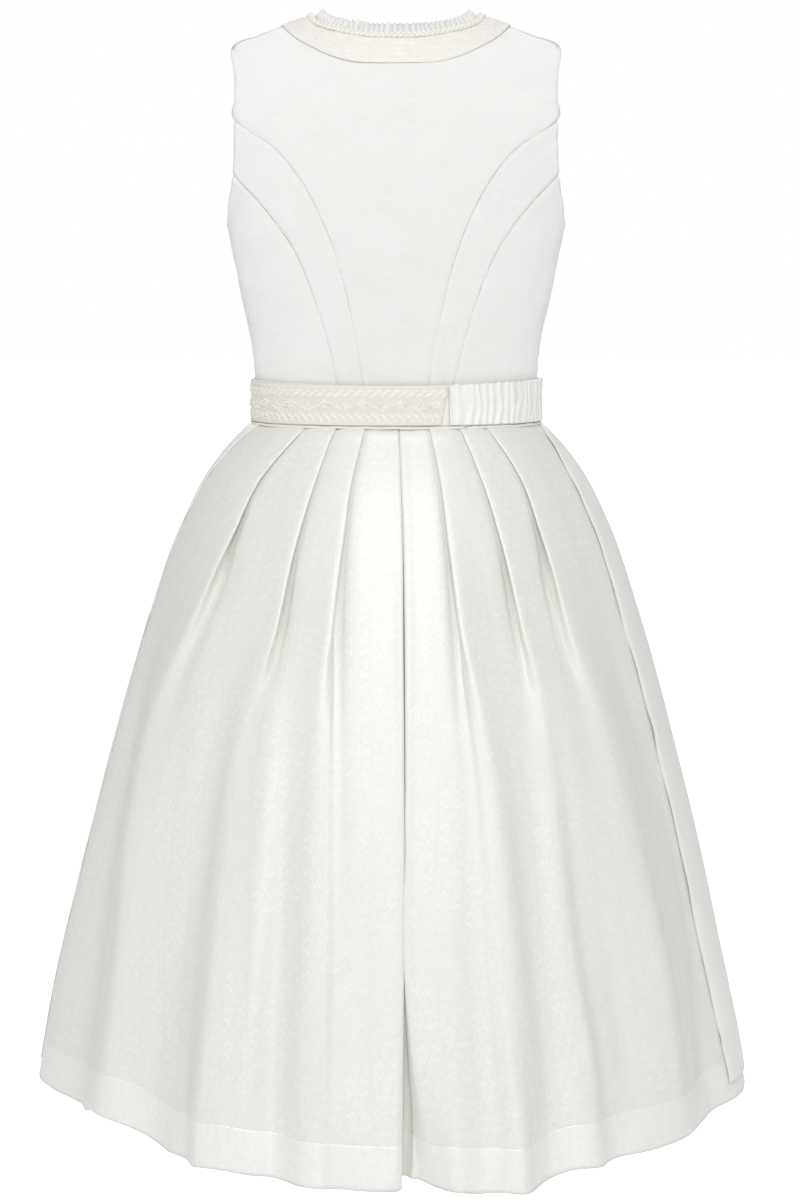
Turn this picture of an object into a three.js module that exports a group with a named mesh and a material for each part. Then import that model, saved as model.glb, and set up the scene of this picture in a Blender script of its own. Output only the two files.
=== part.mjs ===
// Bridal dirndl with its apron, in the worn shape. Millimetres, +Z up, the front faces -Y and the back faces +Y.
// Heights in the tables are measured from the lower edge of the apron band; the group is then lowered so that its
// origin lies between the two neck points, where the shoulders carry the dress.
import * as THREE from "three";

const neckPointZ = 367.6;
const waistSeamZ = 10;
const hemZ = -632;
const apronHemZ = -616;
const skirtWall = 1.6;
const apronWall = 1.3;
const bodiceWall = 1.6;
const trimWall = 1.4;
const braidWall = 2.4;
const bandWall = 1.1;
const ruffleWall = 1;
const seamGap = 0.3;
const layGap = 0.3;
const bodyPower = 2.2;
const shoulderRound = 110;
const shoulderFall = 0.29;
const shoulderBow = 0.001;
const neckRise = 0.36;
const neckPointX = 74.4;
const ruffleHeight = 10;
const rufflePitch = 7.4;
const ruffleWave = 1.5;
const panelRounds = 60;

const cloth = {
  linen: { color: 0xf1f1ef, roughness: 0.85 },
  brocade: { color: 0xedeee8, roughness: 0.5 },
  apronSatin: { color: 0xeff0eb, roughness: 0.45 },
  satin: { color: 0xf0f0eb, roughness: 0.4 },
  creamTrim: { color: 0xf0ede4, roughness: 0.8 },
};

// ---------- small helpers ----------

function rad(deg) {
  return (deg * Math.PI) / 180;
}

function lerp(a, b, s) {
  return a + (b - a) * s;
}

// Linear reading of a table of rows by one named column, the rows running one way in the key column.
function readTable(rows, key, column, value) {
  const rising = rows[rows.length - 1][key] > rows[0][key];
  const before = (a, b) => (rising ? a <= b : a >= b);
  if (before(value, rows[0][key])) return rows[0][column];
  for (let i = 1; i < rows.length; i++) {
    if (before(value, rows[i][key])) {
      const s = (value - rows[i - 1][key]) / (rows[i][key] - rows[i - 1][key]);
      return lerp(rows[i - 1][column], rows[i][column], s);
    }
  }
  return rows[rows.length - 1][column];
}

// A closed cloth wall from a grid of points with their outward directions, half the wall to either side.
// leanLeft(i, j) says which diagonal a cell is cut along.
function wallGeometry(grid, thick, leanLeft = () => false) {
  const m = grid.length;
  const n = grid[0].length;
  const position = [];
  for (const side of [0.5, -0.5]) {
    for (const row of grid) {
      for (const { p, n: out } of row) {
        position.push(p.x + out.x * thick * side, p.y + out.y * thick * side, p.z + out.z * thick * side);
      }
    }
  }
  const at = (k, i, j) => (k * m + i) * n + j;
  const faces = [];
  const quad = (a, b, c, d, lean) => {
    if (lean) faces.push([a, b, d], [b, c, d]);
    else faces.push([a, b, c], [a, c, d]);
  };
  for (let i = 0; i < m - 1; i++) {
    for (let j = 0; j < n - 1; j++) {
      const lean = leanLeft(i, j);
      quad(at(0, i, j), at(0, i + 1, j), at(0, i + 1, j + 1), at(0, i, j + 1), lean);
      quad(at(1, i, j), at(1, i, j + 1), at(1, i + 1, j + 1), at(1, i + 1, j), lean);
    }
  }
  for (let i = 0; i < m - 1; i++) {
    quad(at(0, i + 1, 0), at(0, i, 0), at(1, i, 0), at(1, i + 1, 0), false);
    quad(at(0, i, n - 1), at(0, i + 1, n - 1), at(1, i + 1, n - 1), at(1, i, n - 1), false);
  }
  for (let j = 0; j < n - 1; j++) {
    quad(at(0, 0, j), at(0, 0, j + 1), at(1, 0, j + 1), at(1, 0, j), false);
    quad(at(0, m - 1, j + 1), at(0, m - 1, j), at(1, m - 1, j), at(1, m - 1, j + 1), false);
  }
  const vertex = (k) => new THREE.Vector3(position[3 * k], position[3 * k + 1], position[3 * k + 2]);
  let facing = 0;
  for (let i = 0; i < m - 1; i++) {
    const [a, b, c] = [vertex(at(0, i, 0)), vertex(at(0, i + 1, 0)), vertex(at(0, i + 1, 1))];
    facing += b.sub(a).cross(c.sub(a)).dot(grid[i][0].n);
  }
  const geometry = new THREE.BufferGeometry();
  geometry.setAttribute("position", new THREE.Float32BufferAttribute(position, 3));
  geometry.setIndex(faces.flatMap((f) => (facing < 0 ? [f[0], f[2], f[1]] : f)));
  geometry.computeVertexNormals();
  return geometry;
}

function clothMesh(name, geometry, material) {
  const mesh = new THREE.Mesh(geometry, new THREE.MeshStandardMaterial({ ...material, metalness: 0, name }));
  mesh.name = name;
  return mesh;
}

// Pulls the edges of a grid in by half the seam gap on the sides asked for.
function trimEdges(grid, { left = 0, right = 0, top = 0, bottom = 0 }) {
  const pull = (from, to, by) => ({
    p: from.p.clone().add(to.p.clone().sub(from.p).setLength(by)),
    n: from.n,
  });
  let rows = grid.map((row) => row.slice());
  const m = rows.length;
  const n = rows[0].length;
  if (top) rows[0] = rows[0].map((v, j) => pull(v, rows[1][j], top));
  if (bottom) rows[m - 1] = rows[m - 1].map((v, j) => pull(v, rows[m - 2][j], bottom));
  rows = rows.map((row) => {
    const next = row.slice();
    if (left) next[0] = pull(row[0], row[1], left);
    if (right) next[n - 1] = pull(row[n - 1], row[n - 2], right);
    return next;
  });
  return rows;
}

function movedOut(grid, by) {
  return grid.map((row) => row.map(({ p, n }) => ({ p: p.clone().addScaledVector(n, by), n })));
}

// ---------- the body of the bodice ----------

// Half-width of the body ring and its depth behind and in front, at the middle of the wall.
const bodyRings = [
  { z: 10, half: 127, back: 95.5, front: 97.5 },
  { z: 36, half: 129.4, back: 97, front: 99 },
  { z: 47, half: 130.2, back: 98, front: 101 },
  { z: 61, half: 131.1, back: 99.3, front: 104 },
  { z: 75, half: 132.8, back: 101, front: 109 },
  { z: 89, half: 135.5, back: 103, front: 115 },
  { z: 103, half: 138.6, back: 104.6, front: 121.5 },
  { z: 116, half: 141.7, back: 106.2, front: 127.5 },
  { z: 130, half: 144.3, back: 108, front: 133 },
  { z: 144, half: 147, back: 109.5, front: 136.5 },
  { z: 157, half: 149.8, back: 110.8, front: 138 },
  { z: 171, half: 152.7, back: 111.6, front: 136 },
  { z: 185, half: 154.6, back: 112, front: 132.5 },
  { z: 200, half: 158, back: 112, front: 127 },
  { z: 215, half: 161.5, back: 111.5, front: 121.5 },
  { z: 240, half: 166, back: 109, front: 113 },
  { z: 266, half: 170, back: 105.5, front: 104.5 },
  { z: 300, half: 174, back: 96.5, front: 94 },
  { z: 347, half: 176, back: 79.5, front: 76 },
  { z: 400, half: 176, back: 62, front: 60 },
];
const bust = { x: 68, z: 157, wide: 36, tall: 40, swell: 0.05 };

function shoulderHeight(x) {
  const over = Math.abs(x) - neckPointX;
  return over > 0 ? neckPointZ - over * (shoulderFall + over * shoulderBow) : neckPointZ - over * neckRise;
}

// Squared distance of the cloth from the side plane y = 0, at a place seen from behind.
function bodyDepthSquared(x, z, side) {
  const half = readTable(bodyRings, "z", "half", z);
  let depth = readTable(bodyRings, "z", side > 0 ? "back" : "front", z);
  if (side < 0) {
    const u = (Math.abs(x) - bust.x) / bust.wide;
    const v = (z - bust.z) / bust.tall;
    depth *= 1 + bust.swell * Math.exp(-u * u - v * v);
  }
  const across = Math.max(0, 1 - Math.pow(Math.abs(x) / half, bodyPower));
  const below = shoulderHeight(x) - z;
  const crown = below < shoulderRound ? 1 - (1 - below / shoulderRound) ** 2 : 1;
  return depth * depth * Math.pow(across, 2 / bodyPower) * crown;
}

// A place on the bodice: side is 1 behind and -1 in front.
function bodyPlace(x, z, side) {
  const y = side * Math.sqrt(Math.max(0, bodyDepthSquared(x, z, side)));
  const e = 0.05;
  const inner = Math.max(0, Math.abs(x) - e) * Math.sign(x || 1);
  const dx = (bodyDepthSquared(inner + e * Math.sign(x || 1), z, side) - bodyDepthSquared(inner, z, side)) / e;
  const dz = (bodyDepthSquared(x, z + e, side) - bodyDepthSquared(x, z - e, side)) / (2 * e);
  const slopeX = Math.abs(x) < 0.01 ? 0 : dx * Math.sign(x);
  const n = new THREE.Vector3(-slopeX, 2 * y, -dz).normalize();
  return { p: new THREE.Vector3(x, y, z), n };
}

function onRidge(x) {
  return [x, shoulderHeight(x)];
}

function ringAngle(x, z) {
  const half = readTable(bodyRings, "z", "half", z);
  return Math.asin(Math.pow(Math.min(1, Math.abs(x) / half), bodyPower / 2));
}

function ringWidth(angle, z) {
  return readTable(bodyRings, "z", "half", z) * Math.pow(Math.sin(angle), 2 / bodyPower);
}

// Fills a panel between its four edges, the edges given as lists of [u, z].
function fillPanel(top, bottom, left, right) {
  const n = top.length - 1;
  const m = left.length - 1;
  const rows = [];
  for (let i = 0; i <= m; i++) {
    const v = i / m;
    const row = [];
    for (let j = 0; j <= n; j++) {
      const u = j / n;
      row.push(
        [0, 1].map(
          (k) =>
            (1 - v) * top[j][k] +
            v * bottom[j][k] +
            (1 - u) * left[i][k] +
            u * right[i][k] -
            (1 - v) * ((1 - u) * top[0][k] + u * top[n][k]) -
            v * ((1 - u) * bottom[0][k] + u * bottom[n][k]),
        ),
      );
    }
    rows.push(row);
  }
  return rows;
}

// Evens out the inner points of a panel so that its rows and columns cross cleanly, by elliptic smoothing.
function settleRows(rows, rounds) {
  const minus = (a, b) => [a[0] - b[0], a[1] - b[1]];
  const dot = (a, b) => a[0] * b[0] + a[1] * b[1];
  for (let round = 0; round < rounds; round++) {
    for (let i = 1; i < rows.length - 1; i++) {
      for (let j = 1; j < rows[0].length - 1; j++) {
        const [up, down, left, right] = [rows[i - 1][j], rows[i + 1][j], rows[i][j - 1], rows[i][j + 1]];
        const along = minus(right, left);
        const across = minus(down, up);
        const [a, b, c] = [dot(across, across), dot(along, across), dot(along, along)];
        rows[i][j] = [0, 1].map((k) => {
          const mixed = rows[i + 1][j + 1][k] - rows[i + 1][j - 1][k] - rows[i - 1][j + 1][k] + rows[i - 1][j - 1][k];
          return (a * (left[k] + right[k]) + c * (up[k] + down[k]) - 0.5 * b * mixed) / (2 * (a + c));
        });
      }
    }
  }
  return rows;
}

// Seams, from the armhole down to the waist, as half-widths and heights.
const innerSeam = [
  [143.7, 271],
  [108.5, 246.4],
  [87, 222],
  [69.6, 192],
  [56, 160],
  [45.5, 125],
  [37.3, 88],
  [31, 52],
  [25.5, waistSeamZ],
];
const outerSeam = [
  [144.8, 223],
  [126, 203],
  [107, 181],
  [90.5, 157],
  [78, 130],
  [68, 102],
  [60, 74.5],
  [53.5, 46],
  [47.5, waistSeamZ],
];
const frontSeam = [
  [139.8, 238],
  [117, 216],
  [101, 190],
  [91, 163],
  [82, 136],
  [73.5, 110],
  [64, 80],
  [54.5, 47],
  [45, waistSeamZ],
];
const sideSeamHeights = [178, 165, 149, 131, 111, 89, 66, 42, waistSeamZ];
const backArmhole = [
  [144.8, 223],
  [147.4, 210.5],
  [150.2, 198],
  [152.2, 186],
  [153.6, 178],
];
const frontArmhole = [
  [139.8, 238],
  [144.8, 214],
  [149, 198],
  [151.8, 186],
  [153.6, 178],
];

// Neckline, lower edge of the braid and lower edge of the wide trim, from the centre to the shoulder ridge.
const backNeck = {
  edge: [
    [0, 346.8],
    [15, 347.2],
    [30, 349],
    [45, 352.3],
    [59, 356],
    [69, 360.8],
    onRidge(74.4),
  ],
  braid: [
    [0, 339.8],
    [16, 340.2],
    [32, 342],
    [48, 345.5],
    [63.3, 350],
    [75, 356],
    onRidge(80.8),
  ],
  trim: [
    [0, 318.6],
    [18, 318.8],
    [38, 320.2],
    [57, 326],
    [75, 335],
    [92, 346],
    onRidge(104),
  ],
};
const frontNeck = {
  edge: [
    [0, 225],
    [26, 228],
    [48, 240.5],
    [63.5, 261],
    [72.5, 288],
    [76.8, 320],
    [77, 345],
    [76, 358],
    onRidge(74.4),
  ],
  braid: [
    [0, 218],
    [27.3, 221.2],
    [51.6, 234.9],
    [69.4, 257.5],
    [79.3, 286],
    [83.8, 319.3],
    [84, 345],
    [82.8, 357.5],
    onRidge(80.8),
  ],
  trim: [
    [0, 195],
    [32, 198.8],
    [63.5, 216],
    [88.5, 246],
    [101.5, 280.5],
    [106.8, 317],
    [107, 339],
    [106, 350],
    onRidge(104),
  ],
};

// Outer ends of the rows under the wide trim, each with the height of the same row at the centre line.
const backRows = [
  { centre: 318.6, x: 104, z: shoulderHeight(104) },
  { centre: 305, x: 126, z: shoulderHeight(126) },
  { centre: 291, x: 148.6, z: shoulderHeight(148.6) },
  { centre: 268, x: 145.4, z: 313 },
  { centre: 246, x: 143.9, z: 291 },
  ...innerSeam.map(([x, z], i) => ({ centre: [226, 204, 184, 162, 136, 108, 80, 50, waistSeamZ][i], x, z })),
];
const frontRows = [
  { centre: 195, x: 104, z: shoulderHeight(104) },
  { centre: 187, x: 126, z: shoulderHeight(126) },
  { centre: 179, x: 148.6, z: shoulderHeight(148.6) },
  { centre: 170, x: 141.6, z: 313 },
  { centre: 160, x: 137.6, z: 281 },
  ...frontSeam.map(([x, z], i) => ({ centre: [148, 134, 119, 103, 87, 69, 50, 30, waistSeamZ][i], x, z })),
];

// Half of a centre panel with its neckline rows first: rows of [x, z].
function centrePanelRows(neck, edgeRows) {
  const n = neck.trim.length - 1;
  const waistX = edgeRows[edgeRows.length - 1].x;
  const bottom = neck.trim.map((_, j) => [(waistX * j) / n, waistSeamZ]);
  const left = edgeRows.map((row) => [0, row.centre]);
  const right = edgeRows.map((row) => [row.x, row.z]);
  return [neck.edge, neck.braid, ...settleRows(fillPanel(neck.trim, bottom, left, right), panelRounds)];
}

function placed(rows, side, mirror) {
  return rows.map((row) => row.map(([x, z]) => bodyPlace(x * mirror, z, side)));
}

function backCentreGrid() {
  const half = centrePanelRows(backNeck, backRows);
  const full = half.map((row) => [...row.slice(1).reverse().map(([x, z]) => [-x, z]), ...row]);
  return placed(full, 1, 1);
}

function frontCentreGrid(mirror) {
  return placed(centrePanelRows(frontNeck, frontRows), -1, mirror);
}

// A panel whose edges are seams, filled by ring angle and height so that it wraps the side of the body.
function seamPanelGrid(top, left, right, side, mirror) {
  const asAngle = ([x, z]) => [ringAngle(x, z), z];
  const n = top.length - 1;
  const bottomLeft = asAngle(left[left.length - 1]);
  const bottomRight = asAngle(right[right.length - 1]);
  const bottom = top.map((_, j) => [lerp(bottomLeft[0], bottomRight[0], j / n), waistSeamZ]);
  const rows = fillPanel(top.map(asAngle), bottom, left.map(asAngle), right.map(asAngle));
  return rows.map((row, i) =>
    row.map(([angle, z], j) => {
      if (j === 0) return bodyPlace(left[i][0] * mirror, left[i][1], side);
      if (j === n) return bodyPlace(right[i][0] * mirror, right[i][1], side);
      return bodyPlace(ringWidth(angle, z) * mirror, z, side);
    }),
  );
}

function sideSeam() {
  return sideSeamHeights.map((z) => [readTable(bodyRings, "z", "half", z), z]);
}

// ---------- the skirt ----------

// One row for each height: the ring the folds hang on.
const skirtRows = [
  { z: waistSeamZ, half: 127, back: 95, front: 97, power: 2.2, frontPower: 2.2 },
  { z: 0.2, half: 127.5, back: 95.3, front: 97.2, power: 2.2, frontPower: 2.2 },
  { z: -14, half: 146, back: 110, front: 111, power: 2.18, frontPower: 2.18 },
  { z: -42, half: 168.5, back: 127, front: 127, power: 2.13, frontPower: 2.15 },
  { z: -95, half: 196, back: 150, front: 146, power: 2.05, frontPower: 2.12 },
  { z: -180, half: 225, back: 177, front: 171, power: 1.96, frontPower: 2.08 },
  { z: -300, half: 259, back: 208, front: 202, power: 1.86, frontPower: 2.03 },
  { z: -450, half: 295, back: 242, front: 233, power: 1.79, frontPower: 1.98 },
  { z: hemZ, half: 333, back: 286, front: 272, power: 1.72, frontPower: 1.94 },
];

// For the same heights: the spacing of folded layers in the pleats and at the centre slit, how far the knife pleats and the centre slit have opened,
// and the size in millimetres of the soft folds of the front and of the apron's lift off the skirt.
const skirtFolds = [
  { layer: 2.15, slitLayer: 2.15, open: 0, slit: 0, soft: 0.2, puff: 0 },
  { layer: 2.15, slitLayer: 2.15, open: 0, slit: 0, soft: 0.3, puff: 0 },
  { layer: 2.2, slitLayer: 2.2, open: 0.02, slit: 0, soft: 1.3, puff: 0.6 },
  { layer: 2.8, slitLayer: 2.4, open: 0.07, slit: 0, soft: 2.4, puff: 1.1 },
  { layer: 3.4, slitLayer: 2.6, open: 0.17, slit: 0, soft: 3.8, puff: 1.6 },
  { layer: 4.6, slitLayer: 3, open: 0.36, slit: 0, soft: 5.4, puff: 2 },
  { layer: 5.4, slitLayer: 3, open: 0.66, slit: 0.03, soft: 7, puff: 2.5 },
  { layer: 6, slitLayer: 3, open: 0.9, slit: 0.12, soft: 8.8, puff: 3 },
  { layer: 6, slitLayer: 3, open: 1, slit: 1, soft: 10, puff: 3.5 },
];
skirtRows.forEach((row, r) => Object.assign(row, skirtFolds[r]));

// Places round the skirt in degrees from the centre back, one value for each height above.
const skirtLines = {
  centre: [-0.5, -0.6, -0.7, -1, -1.5, -1.8, -2, -1.8, -1.6],
  left: {
    edges: [
      [10, 10, 10.4, 11.6, 12.7, 14.2, 15.4, 14.8, 14.5],
      [21, 21.2, 21.7, 22.6, 25, 27.3, 33, 34.4, 33.5],
      [35, 35.5, 37.5, 42.4, 46.2, 52.5, 58.8, 57, 55],
    ],
    inner: [
      [8, 8, 8, 9.1, 9.6, 10.2, 10.3, 9.6, 9],
      [18, 18, 18.5, 20.2, 22, 24.8, 26.6, 26.2, 27.8],
      [31, 31, 33, 37.5, 41.5, 45.6, 47.2, 46.5, 46.5],
    ],
    apron: [66, 68, 72, 78, 84, 88, 91.5, 94, 95],
    seam: [100, 100, 100, 100, 100, 100, 101, 102, 102],
    reach: [3, 3, -6],
    hollow: -18,
    swell: [0, 0, 0, 0.4, 0.8, 1.4, 2, 3.5, 12],
  },
  right: {
    edges: [
      [11, 11, 11.2, 11.8, 12.7, 14.4, 19, 21.4, 23.5],
      [23, 23, 23.3, 24.6, 26.8, 29, 32.8, 33.6, 35],
      [35, 35.4, 36.4, 38.6, 39.8, 41.6, 46.5, 50.8, 56],
    ],
    inner: [
      [8, 8, 8, 9.2, 10.2, 11.6, 12.6, 11.5, 11.5],
      [20, 20, 20, 21.3, 23.6, 26, 26.6, 28, 29.5],
      [31, 31, 33, 34.8, 36, 37.6, 38, 40.7, 48],
    ],
    apron: [82, 79, 71, 65.6, 65.2, 65.5, 69, 71.7, 71.5],
    seam: [92, 92, 92, 92, 92, 92, 92, 92, 92],
    reach: [7, 3, 2],
    hollow: -3,
    swell: [0, 0, 0, 0, 0, 0, 0, 1, 1],
  },
};

// Height of the skirt's hem round the dress, left side positive.
const hemLine = [
  { deg: -115, z: -632 },
  { deg: -90, z: -629 },
  { deg: -75, z: -628 },
  { deg: -61, z: -627 },
  { deg: -51, z: -630 },
  { deg: -40, z: -632.5 },
  { deg: -34, z: -634.5 },
  { deg: -30, z: -632 },
  { deg: -26.7, z: -630 },
  { deg: -23, z: -642 },
  { deg: -17, z: -643 },
  { deg: -13, z: -643 },
  { deg: -10, z: -641 },
  { deg: -6.5, z: -636 },
  { deg: -3, z: -634 },
  { deg: 0, z: -637 },
  { deg: 2, z: -638.5 },
  { deg: 7.5, z: -636.5 },
  { deg: 14, z: -635.5 },
  { deg: 20, z: -634 },
  { deg: 27, z: -629 },
  { deg: 34, z: -629 },
  { deg: 39, z: -635 },
  { deg: 42.5, z: -633 },
  { deg: 47, z: -625 },
  { deg: 51.5, z: -620 },
  { deg: 55, z: -622 },
  { deg: 58, z: -628 },
  { deg: 62, z: -629 },
  { deg: 67, z: -634 },
  { deg: 78, z: -641 },
  { deg: 90, z: -641 },
  { deg: 105, z: -637 },
  { deg: 125, z: -633 },
  { deg: 150, z: -632 },
];

// The inverted pleat at the centre back. shut: along the ring and layers in; open: along the ring and out, at the hem.
const slitLeft = [
  { shut: [0, -2], open: [-3, -38] },
  { shut: [11.2, -2], open: [0, -37] },
  { shut: [12.2, -1.5], open: [2, -33] },
  { shut: [11.2, -1], open: [2.5, -26] },
  { shut: [1, -1], open: [2, -14] },
  { shut: [0, -0.5], open: [0, -5] },
  { shut: [1, 0], open: [3, 0] },
  { shut: [9, 0], open: [20, 2] },
];
const slitRight = [
  { shut: [0, -2], open: [-3, -38] },
  { shut: [-13.8, -2], open: [-6, -36] },
  { shut: [-14.8, -1.5], open: [-8, -31] },
  { shut: [-13.8, -1], open: [-9.5, -25] },
  { shut: [-3.9, -1], open: [-11.5, -16] },
  { shut: [-2.9, -0.5], open: [-15.5, -8] },
  { shut: [-3.9, 0], open: [-22, -1] },
  { shut: [-12, 0], open: [-32, 3] },
];

// One knife pleat. shut: along the ring from the fold edge, layers out. open: share of the way from the inner
// soft ridge to the edge, or millimetres past the edge, and the height out at the hem.
const knifePleat = [
  { shut: [-3.4, 0.6], share: 0, out: 6 },
  { shut: [-1.6, 0.1], share: 0.3, out: 4 },
  { shut: [12, 0], share: 0.55, out: 1.5 },
  { shut: [13, 0.5], share: 0.7, out: 0.5 },
  { shut: [12, 1], share: 0.82, out: 2 },
  { shut: [1, 1], share: 0.92, out: 6 },
  { shut: [0, 1.5], share: 1, out: 9 },
  { shut: [1, 2], past: 8, out: 7 },
  { shut: [14, 2], past: 22, out: -4 },
  { shut: [16.6, 1.5], past: 40, out: -9 },
];

const softFolds = [1, 0.75, 1.2, 0.8, 1.1, 0.8];
const softWave = [-0.9, 0.2, 1, 0.1];

// The bare ring of one height as a dense line, read by length from the centre back, left side positive.
function skirtRing(row) {
  const steps = 360;
  const place = (deg) => {
    const s = Math.sin(rad(deg));
    const c = Math.cos(rad(deg));
    const [depth, power] = c > 0 ? [row.back, row.power] : [row.front, row.frontPower];
    return new THREE.Vector2(
      row.half * Math.sign(s) * Math.pow(Math.abs(s), 2 / power),
      depth * Math.sign(c) * Math.pow(Math.abs(c), 2 / power),
    );
  };
  const points = [];
  const lengths = [];
  for (let k = 0; k <= steps; k++) {
    points.push(place((270 * k) / steps));
    lengths.push(k ? lengths[k - 1] + points[k].distanceTo(points[k - 1]) : 0);
  }
  const lengthAt = (deg) => {
    const k = Math.min(steps - 1, Math.floor((Math.abs(deg) * steps) / 270));
    const s = (Math.abs(deg) * steps) / 270 - k;
    return Math.sign(deg) * lerp(lengths[k], lengths[k + 1], s);
  };
  const at = (length, out) => {
    const l = Math.abs(length);
    let k = 0;
    while (k < steps - 1 && lengths[k + 1] < l) k++;
    const s = (l - lengths[k]) / (lengths[k + 1] - lengths[k]);
    const p = points[k].clone().lerp(points[k + 1], s);
    const along = points[Math.min(steps, k + 2)].clone().sub(points[Math.max(0, k - 1)]).normalize();
    if (k < 2) along.set(1, 0);
    const q = new THREE.Vector2(p.x - along.y * out, p.y + along.x * out);
    return length < 0 ? new THREE.Vector2(-q.x, q.y) : q;
  };
  return { lengthAt, at };
}

// The columns of one back half from the centre seam to the side seam, as points of one height.
function backHalf(ring, row, r, side) {
  const lines = skirtLines[side];
  const sign = side === "left" ? 1 : -1;
  const centre = ring.lengthAt(skirtLines.centre[r]);
  const points = [];
  const put = (length, out) => points.push(ring.at(length, out));
  for (const { shut, open } of side === "left" ? slitLeft : slitRight) {
    put(centre + lerp(shut[0], open[0], row.slit), lerp(shut[1] * row.slitLayer, open[1], row.slit));
  }
  lines.edges.forEach((edge, k) => {
    const at = ring.lengthAt(edge[r]);
    const inner = ring.lengthAt(lines.inner[k][r]);
    const reach = lines.reach[k] * row.open ** 3;
    for (const { shut, share, past, out } of knifePleat) {
      const wide = share === undefined ? at + past : lerp(inner, at, share);
      put(sign * lerp(at + shut[0], wide, row.open), lerp(shut[1] * row.layer, out, row.open) + reach);
    }
    if (k < 2) {
      const next = lerp(ring.lengthAt(lines.edges[k + 1][r]) - 3.4, ring.lengthAt(lines.inner[k + 1][r]), row.open);
      const last = at + lerp(16.6, 40, row.open);
      const between = ((lines.reach[k] + lines.reach[k + 1]) / 2) * row.open ** 3;
      put(sign * lerp(last, next, 0.5), lerp(1.1 * row.layer, -3, row.open) + between);
    }
  });
  const last = ring.lengthAt(lines.edges[2][r]) + lerp(16.6, 40, row.open);
  const apron = ring.lengthAt(lines.apron[r]);
  const seam = ring.lengthAt(lines.seam[r]);
  const hollow = lines.hollow * row.open ** 3;
  const swell = lines.swell[r];
  put(sign * lerp(last, apron, 0.5), lerp(0.3 * row.layer, -4, row.open) + hollow);
  put(sign * apron, swell);
  put(sign * lerp(apron, seam, 0.5), 0.85 * swell);
  put(sign * seam, seamSwell(r, side));
  return points;
}

// The side swell as it dies away at the side seam and into the front.
function seamSwell(r, side) {
  return 0.7 * skirtLines[side].swell[r];
}

function frontSpan(ring, row, r) {
  const from = ring.lengthAt(skirtLines.left.seam[r]);
  const half = ring.lengthAt(180);
  const to = 2 * half - ring.lengthAt(skirtLines.right.seam[r]);
  const columns = softFolds.length * 4;
  const points = [];
  for (let j = 1; j < columns; j++) {
    const length = lerp(from, to, j / columns);
    const wave = row.soft * softFolds[Math.floor(j / 4)] * softWave[j % 4];
    const left = length <= half;
    const fromSeam = left ? j : columns - j;
    const swell = seamSwell(r, left ? "left" : "right") * Math.max(0, 1 - fromSeam / 6) ** 2;
    points.push(ring.at(left ? length : length - 2 * half, wave * Math.min(1, fromSeam / 3) + swell));
  }
  return points;
}

// Every height as one closed line of columns round the body, each with its mitred outward direction.
function skirtGrid() {
  const counts = {};
  const grid = skirtRows.map((row, r) => {
    const ring = skirtRing(row);
    const left = backHalf(ring, row, r, "left");
    const front = frontSpan(ring, row, r);
    const right = backHalf(ring, row, r, "right").slice(1).reverse();
    counts.left = left.length;
    counts.front = front.length;
    const line = [...left, ...front, ...right];
    const n = line.length;
    return line.map((p, j) => {
      const before = p.clone().sub(line[(j + n - 1) % n]).normalize();
      const after = line[(j + 1) % n].clone().sub(p).normalize();
      const out = new THREE.Vector2(-before.y - after.y, before.x + after.x);
      const bend = Math.max(0.45, out.length() / 2);
      out.setLength(1 / bend);
      const deg = (Math.atan2(p.x / row.half, p.y / row.back) * 180) / Math.PI;
      const z = r === skirtRows.length - 1 ? readTable(hemLine, "deg", "z", deg) : row.z;
      return { p: new THREE.Vector3(p.x, p.y, z), n: new THREE.Vector3(out.x, out.y, 0) };
    });
  });
  return { grid, counts };
}

// The cell's diagonal follows the way the column runs round the body, so that layers of a pleat stay parallel.
function pleatLean(grid) {
  return (i, j) => {
    const a = grid[i][j].p;
    const b = grid[i][j + 1].p;
    return a.x * b.y - a.y * b.x > 0;
  };
}

function columnsOf(grid, from, to) {
  return grid.map((row) => {
    const n = row.length;
    return Array.from({ length: to - from + 1 }, (_, k) => row[(((from + k) % n) + n) % n]);
  });
}

function skirtPiece(name, grid, edges) {
  const trimmed = trimEdges(grid, { ...edges, top: seamGap / 2 });
  return clothMesh(name, wallGeometry(trimmed, skirtWall, pleatLean(trimmed)), cloth.brocade);
}

function makeApron(skirt, counts) {
  const from = counts.left - 3;
  const to = counts.left + counts.front + 2;
  const last = skirtRows.length - 1;
  const share = (apronHemZ - skirtRows[last - 1].z) / (skirtRows[last].z - skirtRows[last - 1].z);
  const rows = skirt.map((row, r) => {
    if (r < last) return row;
    return row.map(({ p, n }, j) => ({
      p: skirt[r - 1][j].p.clone().lerp(p, share),
      n: skirt[r - 1][j].n.clone().lerp(n, share),
    }));
  });
  const apart = (skirtWall + apronWall) / 2 + layGap + 0.2;
  const grid = columnsOf(rows, from, to).map((row, r) =>
    row.map(({ p, n }, j) => {
      const fromEdge = Math.min(j, row.length - 1 - j);
      const lift = fromEdge === 0 ? 1.2 * skirtRows[r].puff : 0.5 * skirtRows[r].puff;
      const wave = j > 2 && j < row.length - 3 ? 1 + softWave[(j - 2) % 4] : 0.6;
      return { p: p.clone().addScaledVector(n, apart + lift + 0.5 * skirtRows[r].puff * wave), n };
    }),
  );
  return clothMesh("apron", wallGeometry(grid, apronWall, pleatLean(grid)), cloth.apronSatin);
}

// ---------- the band round the waist ----------

const band = { half: 132.6, back: 102.8, front: 102, bottom: 0.3, top: 37, sideRise: 3, columns: 34 };
const ruched = { from: -17, to: -90, folds: 13, depth: 0.9 };
const tab = { lower: -15.5, upper: -18.2 };

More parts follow.
